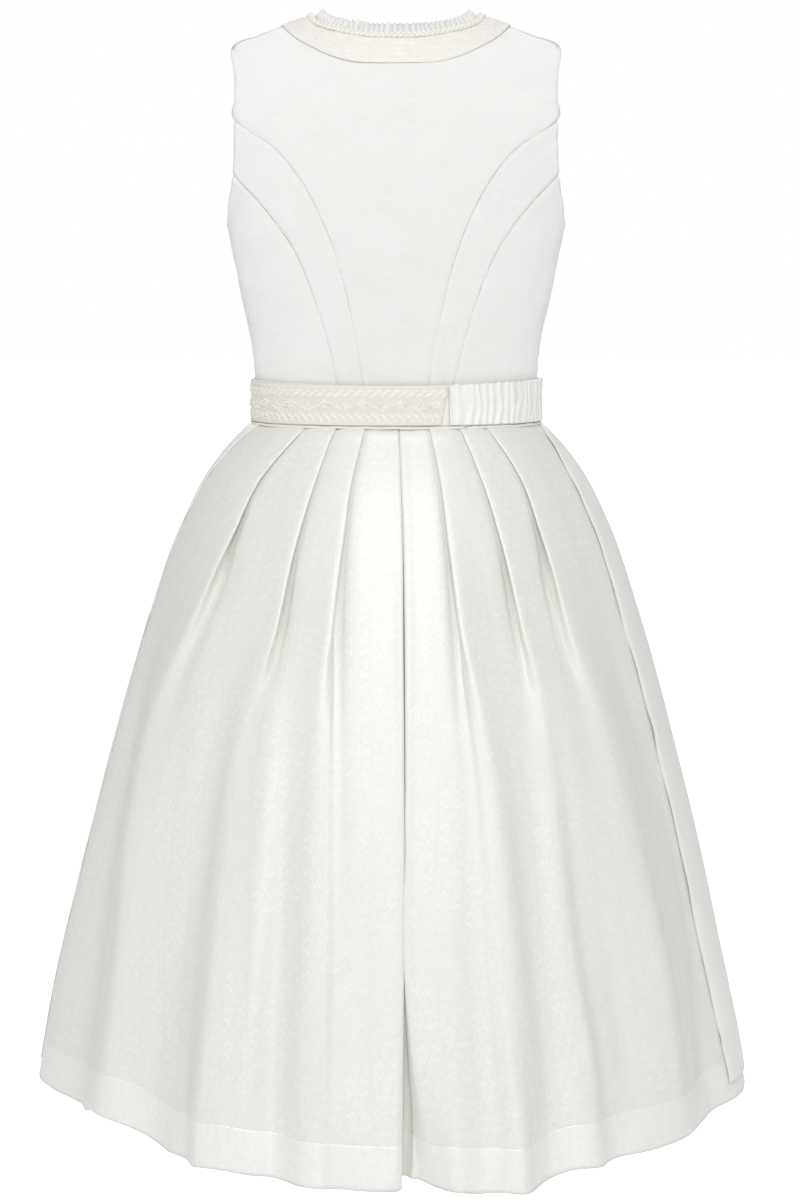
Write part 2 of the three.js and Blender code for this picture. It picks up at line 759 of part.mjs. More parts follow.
function bandPlace(deg, z, out) {
  const s = Math.sin(rad(deg));
  const c = Math.cos(rad(deg));
  const depth = c > 0 ? band.back : band.front;
  const x = band.half * Math.sign(s) * Math.pow(Math.abs(s), 2 / bodyPower);
  const y = depth * Math.sign(c) * Math.pow(Math.abs(c), 2 / bodyPower);
  const n = new THREE.Vector3(
    (Math.sign(x) * Math.pow(Math.abs(x) / band.half, bodyPower - 1)) / band.half,
    (Math.sign(y) * Math.pow(Math.abs(y) / depth, bodyPower - 1)) / depth,
    0,
  ).normalize();
  return { p: new THREE.Vector3(x, y, z).addScaledVector(n, out), n };
}

function bandTop(deg) {
  return band.top + band.sideRise * Math.sin(rad(deg)) ** 2;
}

function bandAngles() {
  const start = ruched.from - 3;
  return Array.from({ length: band.columns + 1 }, (_, j) => start + ((360 - 0.4) * j) / band.columns);
}

function bandStrip(angles, bottom, drop, out) {
  return [
    angles.map((a, j) => bandPlace(a, bandTop(a) - drop, out(j))),
    angles.map((a, j) => bandPlace(a, bottom, out(j))),
  ];
}

function makeWaistband() {
  const grid = bandStrip(bandAngles(), band.bottom, 0, () => 0);
  return clothMesh("waistband", wallGeometry(grid, bandWall), cloth.satin);
}

// The trim lies on the band's own facets, from the slanted tab round the front to the ruched part.
function makeBandTrim() {
  const out = (bandWall + trimWall) / 2 + layGap;
  const angles = bandAngles();
  const onFacet = (a, z) => {
    const k = Math.max(1, angles.findIndex((b) => b >= a));
    const share = (a - angles[k - 1]) / (angles[k] - angles[k - 1]);
    const [from, to] = [bandPlace(angles[k - 1], z, out), bandPlace(angles[k], z, out)];
    return { p: from.p.lerp(to.p, share), n: from.n.lerp(to.n, share) };
  };
  const inside = angles.slice(1).filter((a) => a < 360 + ruched.to);
  const top = [tab.upper, ...inside, 360 + ruched.to].map((a) => onFacet(a, bandTop(a) - 0.6));
  const low = [tab.lower, ...inside, 360 + ruched.to].map((a) => onFacet(a, band.bottom + 1.4));
  return clothMesh("band_trim", wallGeometry([top, low], trimWall), cloth.creamTrim);
}

function makeBandRuching() {
  const count = ruched.folds * 2;
  const angles = Array.from({ length: count + 1 }, (_, j) => lerp(ruched.from - 1.9, ruched.to + 0.3, j / count));
  const out = (j) => bandWall + layGap + 0.4 + (j % 2 ? ruched.depth : 0.1);
  const grid = bandStrip(angles, band.bottom + 1.4, -0.6, out);
  return clothMesh("band_ruching", wallGeometry(grid, 1.1), cloth.satin);
}

// ---------- the trims round the neck ----------

function neckRows(grid, first) {
  return [grid[first], grid[first + 1]];
}

function makeNeckBand(name, grid, first, thick, edges, lean) {
  const out = (bodiceWall + thick) / 2 + layGap;
  const strip = trimEdges(movedOut(neckRows(grid, first), out), edges);
  return clothMesh(name, wallGeometry(strip, thick, lean), cloth.creamTrim);
}

// The line of the neckline and of the braid's lower edge all round, from the left centre front by the back
// to the right centre front.
function neckCircuit(back, frontLeft, frontRight) {
  return [0, 1].map((r) => {
    const left = frontLeft[r].slice(0, -1);
    const behind = back[r].slice().reverse();
    const right = frontRight[r].slice(0, -1).reverse();
    return [...left, ...behind, ...right];
  });
}

function makeRuffle(back, frontLeft, frontRight) {
  const [edge, below] = neckCircuit(back, frontLeft, frontRight);
  const lengths = [0];
  edge.forEach(({ p }, k) => {
    if (k) lengths.push(lengths[k - 1] + p.distanceTo(edge[k - 1].p));
  });
  const total = lengths[lengths.length - 1] - 2;
  const count = Math.round(total / rufflePitch);
  const foot = [];
  const head = [];
  for (let j = 0; j <= count; j++) {
    const at = 1 + (total * j) / count;
    let k = 0;
    while (k < lengths.length - 2 && lengths[k + 1] < at) k++;
    const s = (at - lengths[k]) / (lengths[k + 1] - lengths[k]);
    const p = edge[k].p.clone().lerp(edge[k + 1].p, s);
    const q = below[k].p.clone().lerp(below[k + 1].p, s);
    const n = edge[k].n.clone().lerp(edge[k + 1].n, s).normalize();
    const rise = p.clone().sub(q).normalize().multiplyScalar(0.8);
    rise.z += 0.3;
    rise.normalize();
    const sway = j % 2 ? 1 : -1;
    const side = edge[k + 1].p.clone().sub(edge[k].p).normalize();
    const out = side.cross(rise).normalize();
    if (out.dot(n) < 0) out.negate();
    foot.push({ p: p.clone().addScaledVector(rise, 0.5).addScaledVector(out, 0.35 * sway), n: out });
    head.push({ p: p.clone().addScaledVector(rise, ruffleHeight).addScaledVector(out, ruffleWave * sway), n: out });
  }
  return clothMesh("neck_ruffle", wallGeometry([head, foot], ruffleWall), cloth.satin);
}

// ---------- the pieces ----------

function makeBodice() {
  const half = seamGap / 2;
  const group = new THREE.Group();
  group.name = "bodice";
  const add = (name, grid, edges, lean) => {
    const cut = trimEdges(grid, { bottom: half, ...edges });
    group.add(clothMesh(name, wallGeometry(cut, bodiceWall, lean), cloth.linen));
  };
  const back = backCentreGrid();
  const mirrored = (i, j) => j < (back[0].length - 1) / 2;
  const sides = { left: half, right: half };
  add("back_center", back, sides, mirrored);
  const fronts = {};
  for (const [side, mirror] of Object.entries({ left: 1, right: -1 })) {
    const front = frontCentreGrid(mirror);
    fronts[side] = front;
    add("front_" + side, front, sides);
    add("back_strip_" + side, seamPanelGrid(stripTop(), innerSeam, outerSeam, 1, mirror), sides);
    add("back_side_" + side, seamPanelGrid(backArmhole, outerSeam, sideSeam(), 1, mirror), sides);
    add("front_side_" + side, seamPanelGrid(frontArmhole, frontSeam, sideSeam(), -1, mirror), sides);
  }
  group.add(makeNeckBand("neck_trim_back", back, 1, trimWall, { ...sides, top: half }, mirrored));
  group.add(makeNeckBand("neck_braid_back", back, 0, braidWall, { ...sides, bottom: half }, mirrored));
  for (const side of ["left", "right"]) {
    group.add(makeNeckBand("neck_trim_front_" + side, fronts[side], 1, trimWall, { ...sides, top: half }));
    group.add(makeNeckBand("neck_braid_front_" + side, fronts[side], 0, braidWall, { ...sides, bottom: half }));
  }
  group.add(makeRuffle(back, fronts.left, fronts.right));
  return group;
}

function stripTop() {
  const [from, to] = [innerSeam[0], outerSeam[0]];
  return [0, 1, 2, 3].map((k) => [lerp(from[0], to[0], k / 3), lerp(from[1], to[1], k / 3)]);
}

function makeSkirt() {
  const group = new THREE.Group();
  group.name = "skirt";
  const { grid, counts } = skirtGrid();
  const half = seamGap / 2;
  const n = grid[0].length;
  const leftEnd = counts.left - 1;
  const frontEnd = leftEnd + counts.front + 1;
  group.add(skirtPiece("skirt_back_left", columnsOf(grid, 0, leftEnd), { left: half, right: half }));
  group.add(skirtPiece("skirt_front", columnsOf(grid, leftEnd, frontEnd), { left: half, right: half }));
  group.add(skirtPiece("skirt_back_right", columnsOf(grid, frontEnd, n), { left: half, right: half }));
  group.add(makeApron(grid, counts));
  return group;
}

function makeWaist() {
  const group = new THREE.Group();
  group.name = "waist";
  group.add(makeWaistband(), makeBandTrim(), makeBandRuching());
  return group;
}

const group = new THREE.Group();
group.name = "bridal_dirndl";
const raised = new THREE.Group();
raised.name = "dress";
raised.position.z = -neckPointZ;
raised.add(makeBodice(), makeSkirt(), makeWaist());
group.add(raised);

export default group;
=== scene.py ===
import math
from functools import partialmethod

import bmesh
import bpy
import numpy as np
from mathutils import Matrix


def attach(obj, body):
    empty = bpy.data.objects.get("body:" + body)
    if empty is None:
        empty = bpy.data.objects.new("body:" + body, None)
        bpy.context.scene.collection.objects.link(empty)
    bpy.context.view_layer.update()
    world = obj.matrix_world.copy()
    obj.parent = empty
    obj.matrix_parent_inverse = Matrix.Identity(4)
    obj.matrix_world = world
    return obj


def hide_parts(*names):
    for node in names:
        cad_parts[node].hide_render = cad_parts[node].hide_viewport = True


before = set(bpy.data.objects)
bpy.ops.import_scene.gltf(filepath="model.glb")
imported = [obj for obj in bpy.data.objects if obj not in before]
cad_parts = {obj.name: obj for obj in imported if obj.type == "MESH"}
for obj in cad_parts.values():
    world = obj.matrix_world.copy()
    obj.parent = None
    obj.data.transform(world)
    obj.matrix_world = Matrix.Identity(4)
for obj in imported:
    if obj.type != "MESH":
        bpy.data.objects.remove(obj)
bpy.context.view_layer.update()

# Lengths below are in millimetres, with heights from the lower edge of the waistband. The front faces -Y.
neckPointZ = 367.6
waistSeamZ = 10.0
hemZ = -632.0
millimetre = 0.001
perMetre = 1000.0
smallest = 1e-9
fullTurn = 2 * math.pi

print("scene: maths helpers")


# A curve through values at rising knots, read at any places between them.
def splineThrough(knots, values, at):
    knots = np.asarray(knots, float)
    values = np.asarray(values, float)
    at = np.clip(np.asarray(at, float), knots[0], knots[-1])
    gap = np.diff(knots)
    tail = (1,) * (values.ndim - 1)
    slope = np.diff(values, axis=0) / gap.reshape(-1, *tail)
    tangent = np.empty_like(values)
    tangent[0], tangent[-1] = slope[0], slope[-1]
    before, after = gap[:-1].reshape(-1, *tail), gap[1:].reshape(-1, *tail)
    tangent[1:-1] = (slope[:-1] * after + slope[1:] * before) / (before + after)
    k = np.clip(np.searchsorted(knots, at, side="right") - 1, 0, len(gap) - 1)
    s = ((at - knots[k]) / gap[k]).reshape(-1, *tail)
    h = gap[k].reshape(-1, *tail)
    return (
        (2 * s**3 - 3 * s**2 + 1) * values[k]
        + (s**3 - 2 * s**2 + s) * h * tangent[k]
        + (3 * s**2 - 2 * s**3) * values[k + 1]
        + (s**3 - s**2) * h * tangent[k + 1]
    )


# A line of points made denser, with the same number of new points between each two old ones.
shortestChord = 0.02
chordEvenness = 0.7


def denser(points, steps, closed=False):
    points = np.asarray(points, float)
    if closed:
        points = np.vstack([points[-3:], points, points[:4]])
    chord = np.linalg.norm(np.diff(points, axis=0), axis=1)
    knots = np.concatenate([[0], np.cumsum(np.maximum(chord, shortestChord) ** chordEvenness)])
    first, last = (3, len(points) - 4) if closed else (0, len(points) - 1)
    at = [knots[j] + (knots[j + 1] - knots[j]) * s / steps for j in range(first, last) for s in range(steps)]
    return splineThrough(knots, points, at if closed else [*at, knots[last]])


def refineGrid(grid, rowSteps, columnSteps):
    for steps in (rowSteps, columnSteps):
        last = len(grid) - 1
        grid = splineThrough(np.arange(last + 1), grid, np.linspace(0, last, last * steps + 1)).swapaxes(0, 1)
    return grid


def unit(vectors):
    return vectors / (np.linalg.norm(vectors, axis=-1, keepdims=True) + smallest)


def gridNormals(points, outward):
    normal = unit(np.cross(np.gradient(points, axis=0), np.gradient(points, axis=1)))
    return -normal if np.sum(normal * outward) < 0 else normal


def arcAlong(points, axis=0):
    step = np.linalg.norm(np.diff(points, axis=axis), axis=-1)
    return np.concatenate([0 * step.take([0], axis), np.cumsum(step, axis=axis)], axis=axis)


# A rounded ring at degrees from the centre back, and its depth there.
def ringAt(deg, half, back, front, power):
    s, c = np.sin(np.radians(deg)), np.cos(np.radians(deg))
    depth = np.where(c > 0, back, front)
    if isinstance(power, tuple):
        power = np.where(c > 0, *power)
    return half * np.sign(s) * np.abs(s) ** (2 / power), depth * np.sign(c) * np.abs(c) ** (2 / power), depth


def bell(distance, wide):
    return np.exp(-((distance / wide) ** 2))


def smoothNoise(shape, cells, seed, amplitude=1.0):
    field = np.random.default_rng(seed).normal(size=(cells[0] + 3, cells[1] + 3))
    for coarse, fine in zip(cells, shape):
        field = splineThrough(np.arange(coarse + 3), field, np.linspace(1, coarse + 1, fine)).T
    return field * amplitude


# A smooth mesh from points in millimetres.
def meshPiece(name, vertices, faces, material):
    mesh = bpy.data.meshes.new(name)
    mesh.from_pydata(((np.asarray(vertices) - [0, 0, neckPointZ]) * millimetre).tolist(), [], faces)
    mesh.polygons.foreach_set("use_smooth", np.ones(len(faces), bool))
    mesh.validate()
    mesh.materials.append(material)
    piece = bpy.data.objects.new(name, mesh)
    bpy.context.collection.objects.link(piece)
    return piece


# A sheet from a grid of points facing the given way, with uv in metres and its thickness going inwards.
def sheetPiece(name, points, outward, uv, material, thickness, offset=-1.0):
    index = np.arange(points[..., 0].size).reshape(points.shape[:2])
    quads = np.stack([index[:-1, :-1], index[1:, :-1], index[1:, 1:], index[:-1, 1:]], axis=-1).reshape(-1, 4)
    flat = points.reshape(-1, 3)
    a, b, _, d = flat[quads].swapaxes(0, 1)
    if np.sum(np.cross(b - a, d - a) * outward.reshape(-1, 3)[quads[:, 0]]) < 0:
        quads = quads[:, ::-1]
    piece = meshPiece(name, flat, quads.tolist(), material)
    layer = piece.data.uv_layers.new(name="UVMap")
    layer.data.foreach_set("uv", (uv.reshape(-1, 2)[quads.ravel()] * millimetre).ravel())
    shell = piece.modifiers.new("clothWall", "SOLIDIFY")
    shell.thickness = thickness * millimetre
    shell.offset = offset
    return piece


# Keeps the height of a worked surface on its points, for the shader, which paints shade where it lies low.
def markRelief(piece, relief):
    kept = piece.data.attributes.new("relief", "FLOAT", "POINT")
    kept.data.foreach_set("value", np.asarray(relief, np.float32).ravel())


# One mesh of round tubes along several lines of points.
tubeSides = 8
tubeUp = [0.13, 0.21, 0.97]


def tubePiece(name, lines, radius, material):
    vertices, faces = [], []
    turn = fullTurn * np.arange(tubeSides)[:, None] / tubeSides
    for line in lines:
        run = unit(np.gradient(line, axis=0))
        side = unit(np.cross(run, tubeUp))
        lift = np.cross(side, run)
        rings = line[:, None] + radius * (np.cos(turn) * side[:, None] + np.sin(turn) * lift[:, None])
        index = len(vertices) + np.arange(rings[..., 0].size).reshape(rings.shape[:2])
        following = np.roll(index, -1, axis=1)
        quads = np.stack([index[:-1], following[:-1], following[1:], index[1:]], axis=-1).reshape(-1, 4)
        faces += [*quads.tolist(), index[0, ::-1].tolist(), index[-1].tolist()]
        vertices.extend(rings.reshape(-1, 3))
    return meshPiece(name, vertices, faces, material)


# Hangs a piece on the root and hides the solid it stands for.
def declare(piece, slot, node=None, **sheet):
    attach(piece, "root")
    if node:
        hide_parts(node)
    return piece


print("scene: materials")


def plug(tree, value, slot):
    if isinstance(value, Field):
        tree.links.new(value.socket, slot)
    else:
        slot.default_value = (*value, 1.0) if isinstance(value, tuple) else value


# A value that comes out of a node, with the usual arithmetic.
class Field:
    def __init__(self, tree, socket):
        self.tree = tree
        self.socket = socket

    def mathNode(self, operation, *values):
        node = self.tree.nodes.new("ShaderNodeMath")
        node.operation = operation
        for slot, value in zip(node.inputs, (self, *values)):
            plug(self.tree, value, slot)
        return Field(self.tree, node.outputs[0])

    __add__ = partialmethod(mathNode, "ADD")
    __sub__ = partialmethod(mathNode, "SUBTRACT")
    __mul__ = partialmethod(mathNode, "MULTIPLY")
    __truediv__ = partialmethod(mathNode, "DIVIDE")
    power = partialmethod(mathNode, "POWER")
    most = partialmethod(mathNode, "MAXIMUM")
    least = partialmethod(mathNode, "MINIMUM")
    sine = partialmethod(mathNode, "SINE")
    cosine = partialmethod(mathNode, "COSINE")
    turnFrom = partialmethod(mathNode, "ARCTAN2")
    magnitude = partialmethod(mathNode, "ABSOLUTE")
    fraction = partialmethod(mathNode, "FRACT")
    whole = partialmethod(mathNode, "FLOOR")

    # 1 below the first value, 0 above the second, with a soft step between.
    def softBelow(self, low, high):
        node = self.tree.nodes.new("ShaderNodeMapRange")
        node.interpolation_type = "SMOOTHSTEP"
        settings = {"Value": self, "From Min": low, "From Max": high, "To Min": 1, "To Max": 0}
        for label, value in settings.items():
            plug(self.tree, value, node.inputs[label])
        return Field(self.tree, node.outputs["Result"])

    # The same on either side of zero, so a line of that half-width.
    def lineOf(self, low, high):
        return self.magnitude().softBelow(low, high)

    def yarns(self, pitch):
        return (self / pitch * math.pi).sine().magnitude()


def splitMillimetres(tree, socket):
    node = tree.nodes.new("ShaderNodeSeparateXYZ")
    tree.links.new(socket, node.inputs[0])
    return Field(tree, node.outputs[0]) * perMetre, Field(tree, node.outputs[1]) * perMetre


def noiseField(tree, vector, scale, detail=2.0, roughness=0.5):
    node = tree.nodes.new("ShaderNodeTexNoise")
    for label, value in (("Scale", scale), ("Detail", detail), ("Roughness", roughness)):
        node.inputs[label].default_value = value
    tree.links.new(vector, node.inputs["Vector"])
    return Field(tree, node.outputs["Fac"])


# Noise over two values, with one cell to a unit.
def noiseOver(x, y, detail=2.0, roughness=0.5):
    node = x.tree.nodes.new("ShaderNodeCombineXYZ")
    plug(x.tree, x, node.inputs[0])
    plug(x.tree, y, node.inputs[1])
    return noiseField(x.tree, node.outputs[0], 1.0, detail, roughness)


# A group with named inputs and outputs; the function makes its outputs from the coordinates and the inputs.
def makeGroup(name, inputs, outputs, build):
    tree = bpy.data.node_groups.new(name, "ShaderNodeTree")
    tree.interface.new_socket(name="Coordinates", in_out="INPUT", socket_type="NodeSocketVector")
    for label, value in inputs.items():
        socket = tree.interface.new_socket(name=label, in_out="INPUT", socket_type="NodeSocketFloat")
        socket.default_value = value
    for label in outputs:
        tree.interface.new_socket(name=label, in_out="OUTPUT", socket_type="NodeSocketFloat")
    source = tree.nodes.new("NodeGroupInput")
    sink = tree.nodes.new("NodeGroupOutput")
    u, v = splitMillimetres(tree, source.outputs["Coordinates"])
    made = build(u, v, *(Field(tree, source.outputs[label]) for label in inputs))
    for label, field in zip(outputs, made):
        plug(tree, field, sink.inputs[label])
    return tree


# Plain weave with thick and thin yarns: long slubs across, finer ones down.
def weaveSlubs(u, v, pitch, amount):
    wobble = noiseOver(u * 0.045, v * 0.5) - 0.5
    thread = (v + wobble * 1.1).yarns(pitch) * 0.62 + u.yarns(pitch) * 0.38
    longSlub = noiseOver(u * 0.055, v * 1.15, 3.0, 0.62)
    shortSlub = noiseOver(u * 0.19 + 31.0, v * 1.9, 2.0, 0.6)
    slub = (longSlub * 0.62 + shortSlub * 0.38 - 0.5) * amount
    return thread * 0.35 + slub * 2.4, slub, noiseOver(u * 0.02 + 7.0, v * 0.035)


# A small half-drop repeat of a six-petal flower, leaf pairs and broken scroll rings.
def weaveMotifs(u, v, wide, tall, pitch):
    drop = ((u / wide).whole() * 0.5).fraction()
    x = ((u / wide).fraction() - 0.5) * wide
    y = ((v / tall + drop).fraction() - 0.5) * tall
    reach = (x * x + y * y).power(0.5)
    turn = y.turnFrom(x)
    petals = (reach - (turn * 6.0).cosine() * 0.9 - 3.3).lineOf(0.25, 0.55)
    heart = (reach - 1.1).lineOf(0.2, 0.5)
    scroll = (reach - (turn * 4.0 + 0.6).sine() * 1.3 - 8.3).lineOf(0.25, 0.55)
    breaks = (turn * 4.0 + 2.1).cosine().softBelow(-0.1, 0.35)
    leafX, leafY = x.magnitude() - 6.6, y.magnitude() - 9.3
    along = leafX * 0.77 + leafY * 0.64
    off = leafY * 0.77 - leafX * 0.64
    leaf = ((along * along * 0.075 + off * off * 0.62).power(0.5) - 0.9).lineOf(0.14, 0.32)
    vein = off.lineOf(0.12, 0.3) * along.lineOf(1.8, 2.6)
    stalk = (x - (y * 0.42).sine() * 1.9).lineOf(0.2, 0.5) * (reach.softBelow(5.0, 5.6) * -1.0 + 1.0)
    curl = ((x.magnitude() - 3.6).power(2.0) + (y.magnitude() - 12.2).power(2.0)).power(0.5) - 1.7
    motif = petals.most(heart).most(scroll * breaks).most(leaf).most(vein * 0.8).most(stalk * 0.8)
    motif = motif.most(curl.lineOf(0.2, 0.45) * 0.8)
    thread = (u.yarns(pitch) * 0.6 + v.yarns(pitch) * 0.4) * 0.6 + noiseOver(u * 1.6, v * 0.16) * 0.8
    streak = noiseOver(u * 0.2, v * 0.04) * 0.4 + noiseOver(u * 0.28, v * 0.2, 3.0, 0.65) * 0.6 - 0.5
    return motif, thread, noiseOver(u * 0.012, v * 0.012), streak


# Satin: floats running one way, with faint uneven yarns.
def weaveSatin(u, v, pitch):
    floats = (u / pitch * math.pi + v / pitch * 0.8).sine().magnitude()
    return floats * 0.5 + noiseOver(u * 1.9, v * 0.12), noiseOver(u * 0.02, v * 0.02)


# Fine cream thread, as in embroidery and braid.
def spinThread(u, v, grain):
    return noiseOver(u * grain, v * grain, 3.0, 0.6), noiseOver(u * 0.21, v * 0.21, 3.0)


slubWeave = makeGroup(
    "slubWeave", {"Yarn Pitch mm": 0.55, "Slub Amount": 1.0}, ("Height", "Slub", "Mottle"), weaveSlubs,
)
jacquardRepeat = makeGroup(
    "jacquardRepeat", {"Repeat Width mm": 25.0, "Repeat Height mm": 29.0, "Thread Pitch mm": 0.45},
    ("Motif", "Thread", "Mottle", "Streak"), weaveMotifs,
)
satinFloat = makeGroup("satinFloat", {"Thread Pitch mm": 0.35}, ("Thread", "Mottle"), weaveSatin)
threadFuzz = makeGroup("threadFuzz", {"Grain per mm": 1.4}, ("Height", "Tone"), spinThread)


def newMaterial(name, **values):
    material = bpy.data.materials.new(name)
    material.use_nodes = True
    tree = material.node_tree
    shader = tree.nodes["Principled BSDF"]
    for label, value in values.items():
        shader.inputs[label.replace("_", " ")].default_value = value
    return material, tree, shader


def clothUv(tree):
    node = tree.nodes.new("ShaderNodeUVMap")
    node.uv_map = "UVMap"
    return node.outputs[0]


# Puts a group in a material and gives its outputs.
def placeGroup(tree, group, coordinates, **values):
    node = tree.nodes.new("ShaderNodeGroup")
    node.node_tree = group
    tree.links.new(coordinates, node.inputs["Coordinates"])
    for label, value in values.items():
        node.inputs[label.replace("_", " ")].default_value = value
    return [Field(tree, output) for output in node.outputs]


def colourMix(factor, low, high):
    node = factor.tree.nodes.new("ShaderNodeMix")
    node.data_type = "RGBA"
    for slot, value in zip((node.inputs[0], node.inputs[6], node.inputs[7]), (factor, low, high)):
        plug(factor.tree, value, slot)
    return Field(factor.tree, node.outputs[2])


def bumpFrom(shader, height, distance):
    node = height.tree.nodes.new("ShaderNodeBump")
    node.inputs["Strength"].default_value = 1.0
    node.inputs["Distance"].default_value = distance
    plug(height.tree, height, node.inputs["Height"])
    height.tree.links.new(node.outputs[0], shader.inputs["Normal"])


bodiceLook = {"light": (0.928, 0.927, 0.919), "dark": (0.866, 0.862, 0.845), "bump": 0.00022}


def makeLinen():
    material, tree, shader = newMaterial("bodiceLinen", Roughness=0.82, Specular_IOR_Level=0.25, Sheen_Weight=0.3,
                                         Sheen_Roughness=0.6, Diffuse_Roughness=1.0)
    height, slub, mottle = placeGroup(tree, slubWeave, clothUv(tree), Yarn_Pitch_mm=0.6)
    shade = (slub * 2.4 + (mottle - 0.5) * 0.5 + 0.52).least(1.0).most(0.0)
    plug(tree, colourMix(shade, bodiceLook["dark"], bodiceLook["light"]), shader.inputs["Base Color"])
    bumpFrom(shader, height, bodiceLook["bump"])
    return material


skirtLook = {
    "ground": (0.862, 0.864, 0.828),
    "motif": (0.958, 0.958, 0.925),
    "shade": (0.8, 0.795, 0.75),
    "hem": (0.925, 0.92, 0.895),
    "groundRoughness": 0.46,
    "motifRoughness": 0.4,
    "bump": 0.00012,
    "hemDepth": 38.0,
}


def makeBrocade():
    material, tree, shader = newMaterial("skirtBrocade", Specular_IOR_Level=0.4, Metallic=0.17)
    uv = clothUv(tree)
    motif, thread, mottle, streak = placeGroup(tree, jacquardRepeat, uv)
    u, v = splitMillimetres(tree, uv)
    weft = noiseOver(u * 0.45, v * 2.4)
    shown = motif * ((mottle - 0.3) * 3.0).least(0.85).most(0.4) * (weft * 1.4 + 0.15)
    hemPlace = v + (noiseOver(u * 0.02, 0.0, 1.0) - 0.5) * 2.0
    turned = hemPlace.softBelow(skirtLook["hemDepth"] - 0.4, skirtLook["hemDepth"] + 0.4)
    ground = colourMix(turned * 0.95, skirtLook["ground"], skirtLook["hem"])
    # Streaks darken the ground towards the shade colour: uneven yarn and painted sheen shade.
    yarnStreaksAndSheenShade = colourMix((streak * 1.6 + 0.12).most(0.0), ground, skirtLook["shade"])
    plug(tree, colourMix(shown, yarnStreaksAndSheenShade, skirtLook["motif"]), shader.inputs["Base Color"])
    rough = shown * (skirtLook["motifRoughness"] - skirtLook["groundRoughness"]) + skirtLook["groundRoughness"]
    plug(tree, rough, shader.inputs["Roughness"])
    line = (hemPlace - skirtLook["hemDepth"]).lineOf(0.2, 1.5)
    prick = ((u * 0.9).sine() * 0.5 + 0.5).power(3.0)
    height = shown * 0.6 + streak * 0.8 + thread * 0.35 + turned * 1.2 - line * (prick * 0.8 + 0.5) * 2.2
    bumpFrom(shader, height, skirtLook["bump"])
    return material


# Painted shade: darkens a colour where the worked surface lies low, in its hollows.
def paintRecessShade(colour, recessShadeColour):
    worked = colour.tree.nodes.new("ShaderNodeAttribute")
    worked.attribute_name = "relief"
    raised = Field(colour.tree, worked.outputs["Fac"]).power(0.8).least(1.0)
    return colourMix(raised, recessShadeColour, colour)


spunLooks = {
    "satin": {
        "group": satinFloat, "tone": 1.2, "fine": 0.35, "middle": 0.8, "bump": 0.00006,
        "shader": {"Specular_IOR_Level": 0.5, "Sheen_Weight": 0.08, "Sheen_Roughness": 0.35},
    },
    "thread": {
        "group": threadFuzz, "tone": 1.6, "fine": 0.9, "middle": 0.5, "bump": 0.00025,
        "shader": {"Specular_IOR_Level": 0.3, "Sheen_Weight": 0.15, "Sheen_Roughness": 0.5},
    },
}


# Satin or worked thread, mottled between a light and a dark colour, with painted shade in its hollows when a shade
# colour is given.
def makeSpun(kind, name, light, dark, recessShadeColour=None, roughness=0.75):
    look = spunLooks[kind]
    material, tree, shader = newMaterial(name, Roughness=roughness, **look["shader"])
    fine, tone = placeGroup(tree, look["group"], clothUv(tree))
    shade = ((tone - 0.5) * look["tone"] + (fine - look["middle"]) * look["fine"] + 0.5).least(1.0).most(0.0)
    colour = colourMix(shade, dark, light)
    plug(tree, paintRecessShade(colour, recessShadeColour) if recessShadeColour else colour, shader.inputs["Base Color"])
    if kind == "satin":
        plug(tree, (tone - 0.5) * 0.16 + roughness, shader.inputs["Roughness"])
    bumpFrom(shader, fine, look["bump"])
    return material


def makePearl():
    material, tree, shader = newMaterial("pearl", Specular_IOR_Level=0.6, Coat_Weight=0.5)
    node = tree.nodes.new("ShaderNodeTexCoord")
    cloud = noiseField(tree, node.outputs["Object"], 180.0)
    plug(tree, colourMix(cloud, (0.88, 0.85, 0.8), (0.96, 0.95, 0.92)), shader.inputs["Base Color"])
    plug(tree, cloud * 0.12 + 0.14, shader.inputs["Roughness"])
    return material


linen = makeLinen()
brocade = makeBrocade()
pearl = makePearl()
apronSatin = makeSpun("satin", "apronSatin", (0.93, 0.925, 0.9), (0.9, 0.893, 0.865), roughness=0.42)
bandSatin = makeSpun("satin", "bandSatin", (0.94, 0.94, 0.915), (0.91, 0.908, 0.88), roughness=0.38)
# The third colour of the ruffle, the trims and the braid is painted shade, laid where their surface lies low.
ruffleSatin = makeSpun("satin", "ruffleSatin", (0.95, 0.95, 0.94), (0.915, 0.915, 0.9), (0.72, 0.72, 0.7), 0.4)
bandThread = makeSpun("thread", "bandTrimThread", (0.98, 0.96, 0.925), (0.92, 0.893, 0.84), (0.84, 0.805, 0.74))
neckThread = makeSpun("thread", "neckTrimThread", (0.99, 0.975, 0.945), (0.955, 0.935, 0.895), (0.9, 0.872, 0.82))
cordThread = makeSpun("thread", "bandCordThread", (0.93, 0.905, 0.85), (0.84, 0.8, 0.72))
braidThread = makeSpun("thread", "neckBraidThread", (0.985, 0.972, 0.94), (0.93, 0.905, 0.855), (0.74, 0.7, 0.63))

print("scene: body of the bodice")

